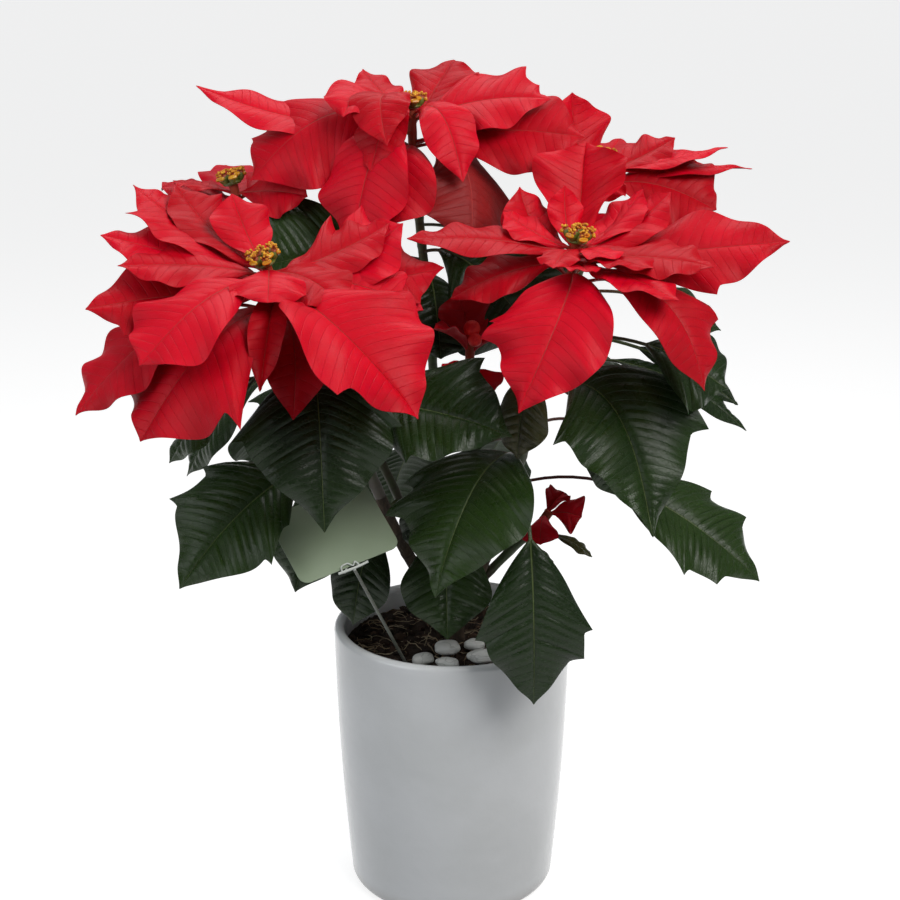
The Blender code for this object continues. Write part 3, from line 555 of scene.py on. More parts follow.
SHOOTS = {
    "front_left": Shoot(
        route=((-8, -5, 225), (-38, -22, 283), (-66, -46, 360), (-108, -78, 450), (-125, -90, 506)),
        wood=322,
        leaves=(
            Blade(9, 80, 90, 98, 425, 25, stalk=0.12, widest=0.24, left=(0.14,), right=(0.2,)),
            Blade(
                299, 145, 67, 84, 348, 28, -30, fold=20, stalk=0.34, widest=0.3,
                left=(0.06, 0.26), right=(0.14, 0.42), sway=11,
            ),
            Blade(
                65, 140, 12, 82, 405, 5, 38, fold=20, stalk=0.2, widest=0.32,
                left=(0.4,), right=(0.24,),
            ),
            Blade(282, 100, 60, 60, 425, 10, -10, stalk=0.3),
            Blade(228, 84, 58, 74, 395, 20, stalk=0.28, left=(0.25,)),
        ),
        bracts=(
            Blade(228, 90, -42, 48, 11, 15, widest=0.55, stalk=0.08, right=(0.72,), tooth=0.5),
            Blade(208, 56, -37, 44, 9, 20, widest=0.55, stalk=0.08),
            Blade(110, 88, -20, 50, 14, 15, 25, left=(0.4,), stalk=0.08, tooth=0.6),
            Blade(85, 106, 32, 56, 16, 10, 35, stalk=0.08),
            Blade(72, 113, 40, 55, 24, 0, 30),
            Blade(60, 60, 23, 50, 10, 15, 20, widest=0.5, stalk=0.08),
            Blade(8, 48, 19, 50, 9, 15, widest=0.5, taper=0.8, stalk=0.08),
            Blade(276, 96, 2, 46, 13, 15, -22),
            Blade(262, 112, -14, 50, 20, 20, -25),
            Blade(242, 106, -43, 60, 24, 25, left=(0.72,), right=(0.76,), tooth=0.4),
            Blade(280, 118, 29, 60, 30, 10, -40, left=(0.72,)),
            Blade(315, 103, 54, 76, 17, 20, -10, widest=0.55, sway=15),
            Blade(313, 103, 105, 110, 34, 10, -5, left=(0.38,), tooth=0.35, sway=15),
            Blade(2, 70, 72, 28, 25, 10, fold=45),
            Blade(52, 131, 87, 100, 26, 15, 10, fold=30, widest=0.38, right=(0.55,), sway=-25),
            Blade(20, 65, 93, 40, 38, 0),
            Blade(62, 107, 84, 60, 42, 0),
            Blade(288, 129, 96, 76, 46, 35, -15, stalk=0.28),
            Blade(95, 120, 7, 55, 32, 10, 35, left=(0.6,), right=(0.7,)),
            Blade(107, 96, -20, 64, 24, 15, 30, left=(0.64,), tooth=0.5),
            Blade(138, 90, 8, 54, 34, 15),
        ),
    ),
    "front_right": Shoot(
        route=((10, -8, 225), (35, -22, 300), (60, -42, 390), (78, -54, 460), (85, -60, 516)),
        wood=330,
        leaves=(
            Blade(325, 107, 74, 106, 352, 30, stalk=0.12, widest=0.24, right=(0.12, 0.38)),
            Blade(
                42, 107, 82, 98, 405, 30, 18, fold=22, stalk=0.14, widest=0.18,
                left=(0.05, 0.28), right=(0.12,), sway=30,
            ),
            Blade(8, 83, 144, 70, 338, 10, stalk=0.38, widest=0.38, left=(0.36, 0.6), right=(0.4,)),
            Blade(322, 40, 60, 46, 425, 10, stalk=0.2),
            Blade(85, 118, 34, 76, 444, 10, 30, stalk=0.48, widest=0.38, right=(0.3,)),
        ),
        bracts=(
            Blade(197, 26, -32, 26, 9, 20, widest=0.5, stalk=0.1),
            Blade(172, 74, -56, 74, 18, 20, -8, fold=32, curl=20, widest=0.58),
            Blade(275, 116, -1, 42, 12, 15, -20, stalk=0.08),
            Blade(248, 54, -14, 40, 9, 15, -10, widest=0.5, stalk=0.08),
            Blade(334, 42, 14, 30, 9, 15, widest=0.5, stalk=0.08),
            Blade(31, 44, 8, 30, 9, 15, widest=0.5, stalk=0.08),
            Blade(5, 55, 13, 24, 15, 0),
            Blade(43, 68, 12, 38, 14, 10, left=(0.7,)),
            Blade(331, 86, 103, 82, 24, 10, -5, widest=0.32, right=(0.27, 0.46), sway=30),
            Blade(86, 143, 1, 64, 20, 10, 42, right=(0.44,), taper=1.25),
            Blade(65, 96, 13, 46, 14, 10, 20),
            Blade(41, 93, 29, 44, 20, 5),
            Blade(54, 101, 92, 58, 34, 20, 10, widest=0.5, left=(0.55,), arch=0.75),
            Blade(126, 59, -28, 40, 10, 15),
            Blade(107, 68, -28, 44, 12, 15, 20),
            Blade(272, 86, 42, 44, 17, 0, -30),
            Blade(150, 95, -10, 56, 30, 20),
            Blade(219, 60, -28, 50, 30, 25),
        ),
    ),
    "top": Shoot(
        route=((0, 8, 230), (-10, 25, 350), (-20, 40, 470), (-28, 48, 550), (-30, 50, 596)),
        wood=270,
        leaves=(
            Blade(2, 92, 84, 66, 310, 0, stalk=0.35, widest=0.38),
            Blade(120, 100, 85, 96, 508, 0, stalk=0.2, left=(0.4,), right=(0.35,)),
            Blade(282, 120, 0, 104, 482, 15, -60, stalk=0.25, left=(0.4,)),
            Blade(60, 95, 56, 104, 488, 20, 50, stalk=0.15, sway=-20),
            Blade(12, 60, 55, 90, 476, 10, stalk=0.2),
            Blade(225, 110, 30, 80, 450, 20, stalk=0.3, left=(0.2,)),
            Blade(182, 104, 62, 84, 375, 25, stalk=0.25, left=(0.2,), right=(0.3,)),
            Blade(206, 98, 84, 74, 338, 15, stalk=0.3, right=(0.25,)),
        ),
        bracts=(
            Blade(84, 102, -4, 64, 13, 25, 35, left=(0.66, 0.84), widest=0.38, stalk=0.08, tooth=0.25),
            Blade(79, 128, 22, 76, 28, 15, 45),
            Blade(36, 64, 50, 40, 11, 40, 20, stalk=0.08, arch=0.7),
            Blade(36, 74, 92, 92, 32, 20, fold=-5, sway=35, arch=0.6),
            Blade(345, 60, 24, 44, 12, 50, stalk=0.08, widest=0.4, sway=-40, arch=1.0),
            Blade(311, 62, 6, 52, 17, 45, -22, stalk=0.1, sway=-25, arch=0.9),
            Blade(217, 62, -21, 40, 11, 20, stalk=0.08),
            Blade(263, 160, -11, 46, 15, -5, -25),
            Blade(277, 118, 54, 92, 16, 32, -40, fold=-8, curl=25, right=(0.7,), arch=0.55),
            Blade(332, 59, 43, 40, 14, 50, arch=0.7),
            Blade(328, 75, 94, 74, 24, 30, arch=0.6),
            Blade(340, 68, 82, 72, 34, 25, sway=15, arch=0.6),
            Blade(146, 56, -28, 60, 18, 45, widest=0.5),
            Blade(222, 108, 15, 58, 32, 15),
            Blade(122, 100, 8, 56, 30, 15),
        ),
    ),
    "back_left": Shoot(
        route=((-10, 10, 228), (-55, 32, 330), (-120, 50, 440), (-152, 57, 495), (-164, 60, 539)),
        wood=280,
        leaves=(
            Blade(282, 108, 80, 66, 400, 10, -10, stalk=0.3),
            Blade(200, 120, 50, 84, 380, 20, stalk=0.3, left=(0.4,), right=(0.4,)),
            Blade(320, 94, 80, 62, 330, 10, -10, stalk=0.3),
            Blade(332, 70, 78, 52, 300, 0, stalk=0.3),
            Blade(120, 105, 30, 80, 430, 15, stalk=0.3),
            Blade(255, 96, 84, 78, 345, 20, stalk=0.28, left=(0.2,), right=(0.25,)),
            Blade(222, 92, 72, 78, 318, 25, stalk=0.3, right=(0.2,)),
        ),
        bracts=(
            Blade(63, 66, 8, 44, 11, 15, 50, left=(0.7,), stalk=0.08),
            Blade(247, 51, 3, 34, 11, 15, stalk=0.08),
            Blade(110, 70, 0, 40, 14, 15),
            Blade(150, 85, -5, 46, 16, 20),
            Blade(190, 90, 0, 50, 18, 20),
            Blade(225, 85, 10, 46, 22, 15),
            Blade(170, 90, 40, 50, 30, 5),
            Blade(300, 60, 25, 36, 18, 10),
        ),
    ),
    "back_right": Shoot(
        route=((10, 10, 228), (48, 34, 330), (86, 50, 440), (104, 58, 505), (110, 60, 555)),
        wood=296,
        leaves=(
            Blade(77, 151, 41, 42, 400, 20, 10, stalk=0.3),
            Blade(
                76, 196, 58, 78, 308, 25, 25, stalk=0.4, widest=0.38,
                left=(0.3, 0.6), right=(0.42, 0.7),
            ),
            Blade(84, 112, 26, 60, 455, 10, 20, stalk=0.3),
            Blade(82, 136, 51, 24, 425, 0, 60, stalk=0.4),
            Blade(50, 78, 78, 62, 388, 0, stalk=0.3),
            Blade(160, 120, 50, 84, 400, 20, stalk=0.3, left=(0.4,), right=(0.4,)),
            Blade(112, 108, 66, 82, 352, 25, stalk=0.28, left=(0.2,), right=(0.25,)),
            Blade(196, 96, 76, 78, 335, 20, stalk=0.3, left=(0.2,)),
        ),
        bracts=(
            Blade(100, 57, -14, 40, 11, 15, 30, stalk=0.08),
            Blade(84, 93, -9, 32, 13, 15, 10, taper=1.7),
            Blade(87, 112, 7, 32, 18, 15, 10, taper=2.2),
            Blade(71, 88, 34, 72, 22, 20, 42),
            Blade(130, 85, 0, 46, 16, 20),
            Blade(165, 90, -5, 50, 18, 20),
            Blade(200, 85, 5, 46, 20, 15),
            Blade(219, 32, -46, 62, 18, 35, fold=25, widest=0.4),
            Blade(343, 50, 28, 58, 16, 25, arch=0.7),
        ),
    ),
    "young": Shoot(
        route=((3, -6, 228), (8, -20, 310), (11, -27, 370), (12, -29, 400), (13, -30, 441)),
        wood=300,
        leaves=(
            Blade(330, 60, 50, 50, 340, 20, stalk=0.3),
        ),
        bracts=(
            Blade(205, 24, -28, 44, 18, 45, fold=25, widest=0.5, sway=-30),
            Blade(300, 30, -8, 26, 14, 60, fold=40),
            Blade(85, 30, 0, 24, 14, 50, fold=40),
            Blade(335, 30, 26, 24, 22, 20, fold=40),
            Blade(28, 34, 34, 26, 26, 10, fold=40),
        ),
    ),
    "side": Shoot(
        route=((6, -2, 226), (30, -8, 256), (52, -10, 280), (65, -10, 291), (75, -10, 306)),
        wood=250,
        leaves=(
            Blade(75, 48, 14, 20, 285, 15, stalk=0.35),
            Blade(40, 30, 20, 16, 281, 0, stalk=0.3),
        ),
        bracts=(
            Blade(335, 24, 22, 28, 9, 20, widest=0.5),
            Blade(75, 22, 6, 32, 7, 25, 45, widest=0.5),
            Blade(140, 14, -8, 26, 8, 60, fold=30, widest=0.5),
        ),
    ),
}


# The trunk and the feet of the shoots are brown wood with pale pores, ringed by the scars of the
# leaves that fell. The trunk goes down into the soil.
TRUNK_HOLE_DEPTH = 50
TRUNK_AXIS = (2, 5)
TRUNK_RADIUS = 8.5
FORK_HEIGHT = 228
FORK_DEPTH = 14
BRANCH_RADIUS = 5
STEM_RADIUS = 3.4
TRUNK_SIDES = 28
TRUNK_ROWS = 40
TRUNK_TAPER = 1
WOOD_SIDES = 18
WOOD_STEP = 2.5
SCAR_STEP = 21
WOOD_COLOURS = ((0.030, 0.020, 0.013), (0.115, 0.078, 0.050))
STEM_MARKS = ("along", "share")


def unit(vectors):
    """The vectors at a length of 1."""
    return vectors / np.linalg.norm(vectors, axis=-1, keepdims=True)


def smooth_route(route, count):
    """Points of a Catmull-Rom curve through the route's own points."""
    knots = np.array(route, float)
    knots = np.vstack([2 * knots[0] - knots[1], knots, 2 * knots[-1] - knots[-2]])
    place = np.linspace(0, len(route) - 1, count)
    first = np.minimum(place.astype(int), len(route) - 2)
    u = (place - first)[:, None]
    a, b, c, d = (knots[first + k] for k in range(4))
    square = (2 * a - 5 * b + 4 * c - d) * u**2
    cube = (3 * b - a - 3 * c + d) * u**3
    return 0.5 * (2 * b + (c - a) * u + square + cube)


def stem_line(shoot, low, high, step):
    """The line of a shoot's stem between two heights, with a point every few millimetres."""
    line = smooth_route(shoot.route, 400)
    heights = np.linspace(low, high, max(2, round(abs(high - low) / step)))
    return np.stack([np.interp(heights, line[:, 2], line[:, k]) for k in range(3)], -1)


def wood_radius(shoot):
    """The radius of a stem where its wood ends: thinner the longer the green stem above it."""
    return STEM_RADIUS + 0.8 if shoot.wood > 300 else STEM_RADIUS


def stem(line, radii, sides, scars=SCAR_STEP, seed=0):
    """A round stem along a line: a ring at each point, as wide as its radius there.

    The radius swells where a leaf grew or fell, once every scar step along the stem and a little more
    on one side, and wavers slightly round the stem. Carried along: the length so far and the share
    of the whole.
    """
    along = unit(np.gradient(line, axis=0))
    across = unit(np.cross(along, (0.31, 0.95, 0.05)))
    third = np.cross(along, across)
    turn = np.arange(sides) * 2 * math.pi / sides
    ring = np.cos(turn)[:, None] * across[:, None] + np.sin(turn)[:, None] * third[:, None]
    length = np.concatenate([[0], np.cumsum(np.linalg.norm(np.diff(line, axis=0), axis=1))])[:, None]
    near = (length / scars + seed * 0.37) % 1 - 0.5
    side = np.cos(turn - 2.4 * np.floor(length / scars + seed * 0.37))
    swell = np.exp(-((near / 0.09) ** 2)) * (0.07 + 0.09 * np.maximum(side, 0))
    waver = 0.025 * np.sin(3 * turn + length / 9) + 0.02 * np.sin(length / 3.1 + seed)
    radius = np.broadcast_to(np.reshape(radii, (-1, 1)), length.shape) * (1 + swell + waver)
    points = line[:, None] + radius[..., None] * ring
    return closed(carrying(points, length, length / length[-1])[None])


bark = Finish("bark", WOOD_COLOURS[0], 0.85)
grain = bark.noise(3.5, 5, (1, 1, 0.16))
pores = bark.noise(2.2, 2, (1, 1, 0.6)).rise(0.62, 0.72)
near = abs((bark.mark("along") / SCAR_STEP).part() - 0.5)
scar = 1 - near.rise(0.02, 0.07)
colour = bark.mix(grain.rise(0.3, 0.75), *WOOD_COLOURS)
colour = bark.mix(pores * 0.5, colour, (0.23, 0.18, 0.12))
colour = bark.mix(scar * 0.55, colour, (0.018, 0.012, 0.009))
bark.feed("Base Color", colour)
bark.bump(grain + pores * 0.4 - scar * 0.5, 0.5)

trunk_foot = (*TRUNK_AXIS, SOIL_TOP - TRUNK_HOLE_DEPTH)
line = np.linspace(trunk_foot, (*TRUNK_AXIS, FORK_HEIGHT), TRUNK_ROWS)
radii = np.linspace(TRUNK_RADIUS, TRUNK_RADIUS - TRUNK_TAPER, TRUNK_ROWS)
limbs = [stem(line, radii, TRUNK_SIDES)]
for number, shoot in enumerate(SHOOTS.values()):
    fork = (*TRUNK_AXIS, FORK_HEIGHT - FORK_DEPTH)
    above = stem_line(shoot, shoot.route[0][2], shoot.wood, WOOD_STEP)
    foot = np.linspace(fork, above[0], 6)[:-1]
    line = np.vstack([foot, above])
    radii = np.linspace(BRANCH_RADIUS, wood_radius(shoot), len(line))
    limbs.append(stem(line, radii, WOOD_SIDES, seed=number))
piece("woody_trunk", limbs, bark, "wood", "trunk", marks=STEM_MARKS)


# The leaves are thick, dark green and waxy. The tissue bulges between the side veins, so that each
# leaf is quilted, and a pale midrib runs into a long stalk on the green stem.
STALK_WIDTH = 2.6
STALK_THICKNESS = 2.4
BLADE_THICKNESS = 0.8
VEIN_LEAN = 0.7
TOOTH_RISE = 0.2
TOOTH_FALL = 0.06
CORE_TOP = 4
CORE_MARGIN = 5
CORE_GAP = 0.3
STRAIGHT_END = 8
STALK_ROWS = 8
ROW_STEP = 1.75
FEWEST_ROWS = 20
MOST_ROWS = 62
HALF_COLUMNS = 11
SKIN = 0.22
RIB = 0.55
LEAF_QUILT = 1.15
LEAF_WAVE = 0.035
LEAF_VEINS = 6.6
LEAF_ROUGHNESS = 0.29
LEAF_VEIN_SHARE = 0.5
LEAF_RELIEF = 0.6
GREEN_SIDES = 16
LEAF_TOP = ((0.0070, 0.0205, 0.0018), (0.0200, 0.0470, 0.0055))
LEAF_UNDER = (0.050, 0.085, 0.035)
LEAF_VEIN = (0.035, 0.075, 0.022)
LEAF_RIB = (0.130, 0.170, 0.060)
LEAF_DULL = (0.075, 0.062, 0.018)
STALK_COLOURS = ((0.060, 0.095, 0.030), (0.150, 0.035, 0.025))
BLADE_MARKS = ("phase", "middle", "along", "under", "tone", "dull")
# The leaves that are olive brown, young or in the shade, by their shoot and number.
OLIVE_LEAVES = (("front_right", 3), ("side", 0), ("side", 1))


def compass(heading):
    """The level unit vector of a heading."""
    return np.array((math.sin(math.radians(heading)), -math.cos(math.radians(heading)), 0))


def outline(blade, t, places):
    """Half width of one side at shares t of the blade, as a share of its greatest half width.

    It is t to a power times (1 - t) to a power, which peaks where the blade is widest. Each tooth
    adds a cusp that grows slowly towards its place and ends soon after it.
    """
    power = blade.taper * blade.widest / (1 - blade.widest)
    peak = blade.widest**power * (1 - blade.widest) ** blade.taper
    half = np.clip(t, 0, 1) ** power * np.clip(1 - t, 0, 1) ** blade.taper / peak
    for place in places:
        before = np.clip(1 - (place - t) / TOOTH_RISE, 0, 1) ** 2 * (t <= place)
        after = np.clip(1 - (t - place) / TOOTH_FALL, 0, 1) ** 1.4 * (t > place)
        half = half + blade.tooth * (before + after)
    return half


def blade_shell(blade, root, tip, number, spacing, quilt, wave, dull):
    """The closed shell of one leaf or bract, as a grid along it and round its section.

    The midrib is a quadratic Bezier curve from the root to the tip. It leaves the stem at the blade's
    rise, and its middle point lies as far along that start as the arch says. From it each half first
    rises by the fold and then bends down by the curl, and is as wide as the outline. Rows lean towards
    the tip as they near the edge, as the side veins do, and a side vein lies in the row wherever the
    phase is a whole number and a half. Between two veins the surface is raised by a power of the size
    of a sine. The edges wave by a sine that grows with a power of the distance from the midrib. The
    section is a ring in the stalk and a thin skin in the blade, with a groove over the midrib and a
    rib under it.
    """
    chance = np.random.default_rng(1000 + number)
    rise = math.radians(blade.rise)
    lead = compass(blade.heading + blade.sway) * math.cos(rise) + np.array((0, 0, math.sin(rise)))
    middle = root + blade.arch * np.linalg.norm(tip - root) * lead
    dense = np.linspace(0, 1, 60)[:, None]
    curve = (1 - dense) ** 2 * root + 2 * dense * (1 - dense) * middle + dense**2 * tip
    lengths = np.concatenate([[0], np.cumsum(np.linalg.norm(np.diff(curve, axis=0), axis=1))])
    total = lengths[-1]
    rows = np.linspace(0, 1, int(np.clip(total * (1 - blade.stalk) / ROW_STEP, FEWEST_ROWS, MOST_ROWS)))
    for place in blade.left + blade.right:
        rows[np.argmin(np.abs(rows - place))] = place
    share = np.concatenate([
        np.linspace(0, blade.stalk, STALK_ROWS, endpoint=False), blade.stalk + (1 - blade.stalk) * rows,
    ])[:, None]
    across = np.linspace(-1, 1, 2 * HALF_COLUMNS + 1)
    across = np.sign(across) * np.abs(across) ** 1.15
    s = np.concatenate([across, across[::-1]])[None]
    above = np.repeat((1.0, -1.0), len(across))[None]
    along = (share - blade.stalk) / (1 - blade.stalk)
    t = np.clip(along, 0, 1) + 0 * s
    size = np.abs(s)
    half = np.where(s < 0, outline(blade, t, blade.left), outline(blade, t, blade.right)) * blade.width / 2
    half = np.maximum(half, np.where(t < 1, STALK_WIDTH / 2, BLADE_THICKNESS / 4))
    lean = VEIN_LEAN * size**1.25 * half / total * np.sqrt(1 - t) * (t > 0)
    u = np.interp((share + lean) * total, lengths, dense[:, 0])[..., None]
    centre = (1 - u) ** 2 * root + 2 * u * (1 - u) * middle + u**2 * tip
    forward = unit((1 - u) * (middle - root) + u * (tip - middle))
    side = compass(blade.heading - 90)
    side = unit(side - forward * (forward @ side)[..., None])
    up = np.cross(side, forward)
    roll = math.radians(blade.roll)
    side, up = side * math.cos(roll) - up * math.sin(roll), side * math.sin(roll) + up * math.cos(roll)
    bend = np.radians(blade.fold - blade.curl * size / 2)[..., None]
    slope = np.radians(blade.fold - blade.curl * size)[..., None]
    out = (half * size)[..., None]
    points = centre + side * out * np.cos(bend) * np.sign(s)[..., None] + up * out * np.sin(bend)
    normals = up * np.cos(slope) - side * np.sin(slope) * np.sign(s)[..., None]

    veins = max(5, round(total * (1 - blade.stalk) / spacing))
    phase = veins * (0.85 * t + 0.15 * t**2) + 0.35 * np.clip(s / 0.06, 0, 1) + chance.uniform()
    calm = np.clip(t / 0.08, 0, 1) * np.clip((1 - t) / 0.12, 0, 1)
    wide = np.clip(half / 14, 0, 1)
    pillow = np.abs(np.sin(math.pi * (phase - 0.5))) ** 0.8
    fade = np.clip(size * half / 4, 0, 1) * (1 - size**5)
    raised = quilt * pillow * fade * calm * wide
    turns = chance.uniform(2.0, 3.4, 2)
    starts = chance.uniform(0, 2 * math.pi, 2)
    turns = np.where(s < 0, turns[0], turns[1])
    starts = np.where(s < 0, starts[0], starts[1])
    wavy = np.sin(2 * math.pi * turns * t + starts)
    raised = raised + wave * blade.width * size**2.2 * wavy * calm
    slow = chance.uniform(0, 2 * math.pi, 2)
    sweep = np.sin(5 * t + 2.2 * s + slow[0]) * np.sin(2.6 * s + slow[1])
    raised = raised + 0.010 * blade.width * sweep * calm

    slim = np.clip(t / 0.1, 0, 1)
    slim = slim * slim * (3 - 2 * slim)
    round_half = STALK_THICKNESS / 2 * np.sqrt(np.clip(1 - s**2, 0.004, 1))
    ridge = np.exp(-((size * half / 1.1) ** 2))
    skin = SKIN + np.where(above > 0, -0.55 * RIB, RIB * 1.5 * (1.1 - t)) * ridge * calm
    skin = round_half + (skin - round_half) * slim
    grid = points + normals * (raised + above * skin)[..., None]
    tone = (number * 0.618034) % 1
    under = (above < 0) * slim
    marks = (phase, size * half, along, under, tone, dull)
    return closed(carrying(grid, *marks)[None])


def bloom_axis(shoot):
    """The unit vector along which a shoot's stem ends, at its bloom's centre."""
    ends = np.array(shoot.route[-2:], float)
    return unit(ends[1] - ends[0])


def bloom_depth(shoot):
    """How far under the bloom's centre its red part begins."""
    return max(blade.root for blade in shoot.bracts) + CORE_MARGIN


def blade_finish(name, roughness, tops, under, vein, rib, dull, stalks, vein_share, relief, **constants):
    """Skin of a leaf or bract: cloudy colour, side veins and a fine net of veins, midrib and stalk.

    A side vein is drawn where the phase is near a half, and the midrib where the distance from the
    middle is small. The relief has grooves at the veins and fine bumps between them.
    """
    made = Finish(name, tops[0], roughness, **constants)
    phase = made.mark("phase")
    middle = made.mark("middle")
    along = made.mark("along")
    below = made.mark("under").rise(0.3, 0.7)
    tone = made.mark("tone")
    cloud = made.noise(22, 4)
    lateral = 1 - abs(phase.part() - 0.5).rise(0.012, 0.055)
    lateral = lateral * middle.rise(0.2, 1.5)
    branch = 1 - made.cells(2.6).rise(0.01, 0.06)
    midrib = 1 - (middle / (1.15 - along)).rise(0.4, 0.85)
    stalk = 1 - along.rise(-0.02, 0.05)
    colour = made.mix((cloud * 0.7 + tone * 0.6 - 0.15).rise(0.15, 0.85), *tops)
    colour = made.mix(below, colour, under)
    colour = made.mix(made.mark("dull") * (0.55 + cloud * 0.5), colour, dull)
    colour = made.mix((lateral * vein_share + branch * vein_share * 0.35) * (1 - stalk), colour, vein)
    colour = made.mix(midrib * 0.8, colour, rib)
    colour = made.mix(stalk, colour, made.mix((tone + cloud * 0.4).rise(0.2, 1.1), *stalks))
    made.feed("Base Color", colour)
    made.feed("Roughness", made.noise(9, 3) * 0.14 + roughness - 0.07 + below * 0.15)
    grooves = lateral * (below * 2 - 1) + branch * 0.25 * (below * 2 - 1) + midrib * (below * 2 - 1) * 0.5
    made.bump(grooves * 0.6 + made.noise(1.1, 3) * 0.22 + cloud * 0.3, relief)
    return made


leaf_finish = blade_finish(
    "leaf", LEAF_ROUGHNESS, LEAF_TOP, LEAF_UNDER, LEAF_VEIN, LEAF_RIB, LEAF_DULL, STALK_COLOURS,
    LEAF_VEIN_SHARE, LEAF_RELIEF, specular_ior_level=0.30, subsurface_weight=0.08,
    subsurface_radius=(0.3, 1.0, 0.2), subsurface_scale=0.0012,
)
green = Finish("green_stem", STALK_COLOURS[0], 0.5)
share = green.mark("share")
mottle = green.noise(6, 4, (1, 1, 0.35))
turned_green = (share + mottle * 0.5 - 0.25).rise(0.0, 0.35)
colour = green.mix(turned_green, (0.045, 0.030, 0.018), (0.050, 0.080, 0.026))
colour = green.mix((share + mottle * 0.3).rise(0.75, 1.2), colour, (0.120, 0.100, 0.030))
near = abs((green.mark("along") / SCAR_STEP).part() - 0.5)
colour = green.mix((1 - near.rise(0.02, 0.07)) * 0.5, colour, (0.035, 0.030, 0.015))
green.feed("Base Color", colour)
green.feed("Roughness", mottle * 0.2 + 0.4)
green.bump(mottle + green.noise(1, 2) * 0.3, 0.3)

for order, (name, shoot) in enumerate(SHOOTS.items()):
    node = f"leafy_stem_{name}"
    axis = bloom_axis(shoot)
    end = np.array(shoot.route[-1]) - (bloom_depth(shoot) + CORE_GAP) * axis
    low = end - STRAIGHT_END * axis
    line = np.vstack([
        stem_line(shoot, shoot.wood + CORE_GAP, low[2] - STRAIGHT_END, WOOD_STEP), low, end,
    ])
    radii = np.linspace(wood_radius(shoot), STEM_RADIUS, len(line))
    green_stem = stem(line, radii, GREEN_SIDES, seed=order)
    piece(f"stem_{name}", [green_stem], green, "leaf", node, marks=STEM_MARKS)
    shells = []
    for number, blade in enumerate(shoot.leaves):
        root = stem_line(shoot, blade.root, blade.root, 1)[0]
        tip = root + compass(blade.heading) * blade.reach - np.array((0, 0, blade.drop))
        olive = 1.0 if (name, number) in OLIVE_LEAVES else 0.0
        seed = 100 * order + number
        shells.append(blade_shell(blade, root, tip, seed, LEAF_VEINS, LEAF_QUILT, LEAF_WAVE, olive))
    piece(f"leaves_{name}", shells, leaf_finish, "leaf", node, marks=BLADE_MARKS)


# The bracts are leaves that turn red below the flowers. They are thinner and softer than the green
# ones, with a velvety skin that lets light through, low veins and pointed teeth.
BRACT_QUILT = 0.36
BRACT_WAVE = 0.05
BRACT_VEINS = 7.4
BRACT_ROUGHNESS = 0.44
BRACT_VEIN_SHARE = 0.10
BRACT_RELIEF = 0.35
CORE_SIDES = 14
CORE_ROWS = 16
CORE_SCARS = 7
# What the red stem carries for its colour, in the order of the blades' marks.
CORE_VALUES = (0.1, 0.5, -1, 0, 0.6, 0)
BRACT_TOP = ((0.50, 0.0002, 0.008), (0.76, 0.0012, 0.019))
BRACT_UNDER = (0.44, 0.012, 0.020)
BRACT_VEIN = (0.33, 0.003, 0.010)
BRACT_RIB = (0.48, 0.045, 0.040)
BRACT_DULL = (0.17, 0.018, 0.014)
BRACT_STALKS = ((0.42, 0.020, 0.020), (0.30, 0.060, 0.025))
# How dull the bracts are that are half turned from green, by their shoot and number.
DULL_BRACTS = {("top", 3): 0.9, ("young", 0): 0.15}


def bare(shell):
    """The same shell with nothing but its points' places."""
    values, quads, fans = shell
    return values[:, :3], quads, fans


bract_finish = blade_finish(
    "bract", BRACT_ROUGHNESS, BRACT_TOP, BRACT_UNDER, BRACT_VEIN, BRACT_RIB, BRACT_DULL, BRACT_STALKS,
    BRACT_VEIN_SHARE, BRACT_RELIEF, specular_ior_level=0.17, subsurface_weight=0.3,
    subsurface_radius=(1.0, 0.12, 0.1), subsurface_scale=0.0015,
)
for order, (name, shoot) in enumerate(SHOOTS.items()):
    centre = np.array(shoot.route[-1], float)
    axis = bloom_axis(shoot)
    line = centre + np.linspace(-bloom_depth(shoot), -CORE_TOP, CORE_ROWS)[:, None] * axis
    places, quads, fans = bare(stem(line, STEM_RADIUS, CORE_SIDES, CORE_SCARS, order))
    shells = [(carrying(places, *CORE_VALUES), quads, fans)]
    for number, blade in enumerate(shoot.bracts):
        root = centre - blade.root * axis
        tip = centre + compass(blade.heading) * blade.reach - np.array((0, 0, blade.drop))
        dull = DULL_BRACTS.get((name, number), 0.0)
        seed = 1000 + 100 * order + number
        shells.append(blade_shell(blade, root, tip, seed, BRACT_VEINS, BRACT_QUILT, BRACT_WAVE, dull))
    piece(f"red_bracts_{name}", shells, bract_finish, "bract", f"bracts_{name}", marks=BLADE_MARKS)


# The true flowers sit in the middle of each bloom: small green cups on a low dome, each with one
# yellow nectar lip on its outer side and a tuft of red threads with yellow heads on its top.
CUPS_PER_BLOOM = 8
CUP_HEIGHT = 8
CUP_SPREAD = 3.8
RECEPTACLE_HEIGHT = 2.6
GOLDEN_ANGLE = 137.5
LIP_SIZE = (3.3, 1.7, 1.9)
LIP_HEIGHT = 6.6
LIP_OFFSET = 2.9
THREADS_PER_CUP = 11
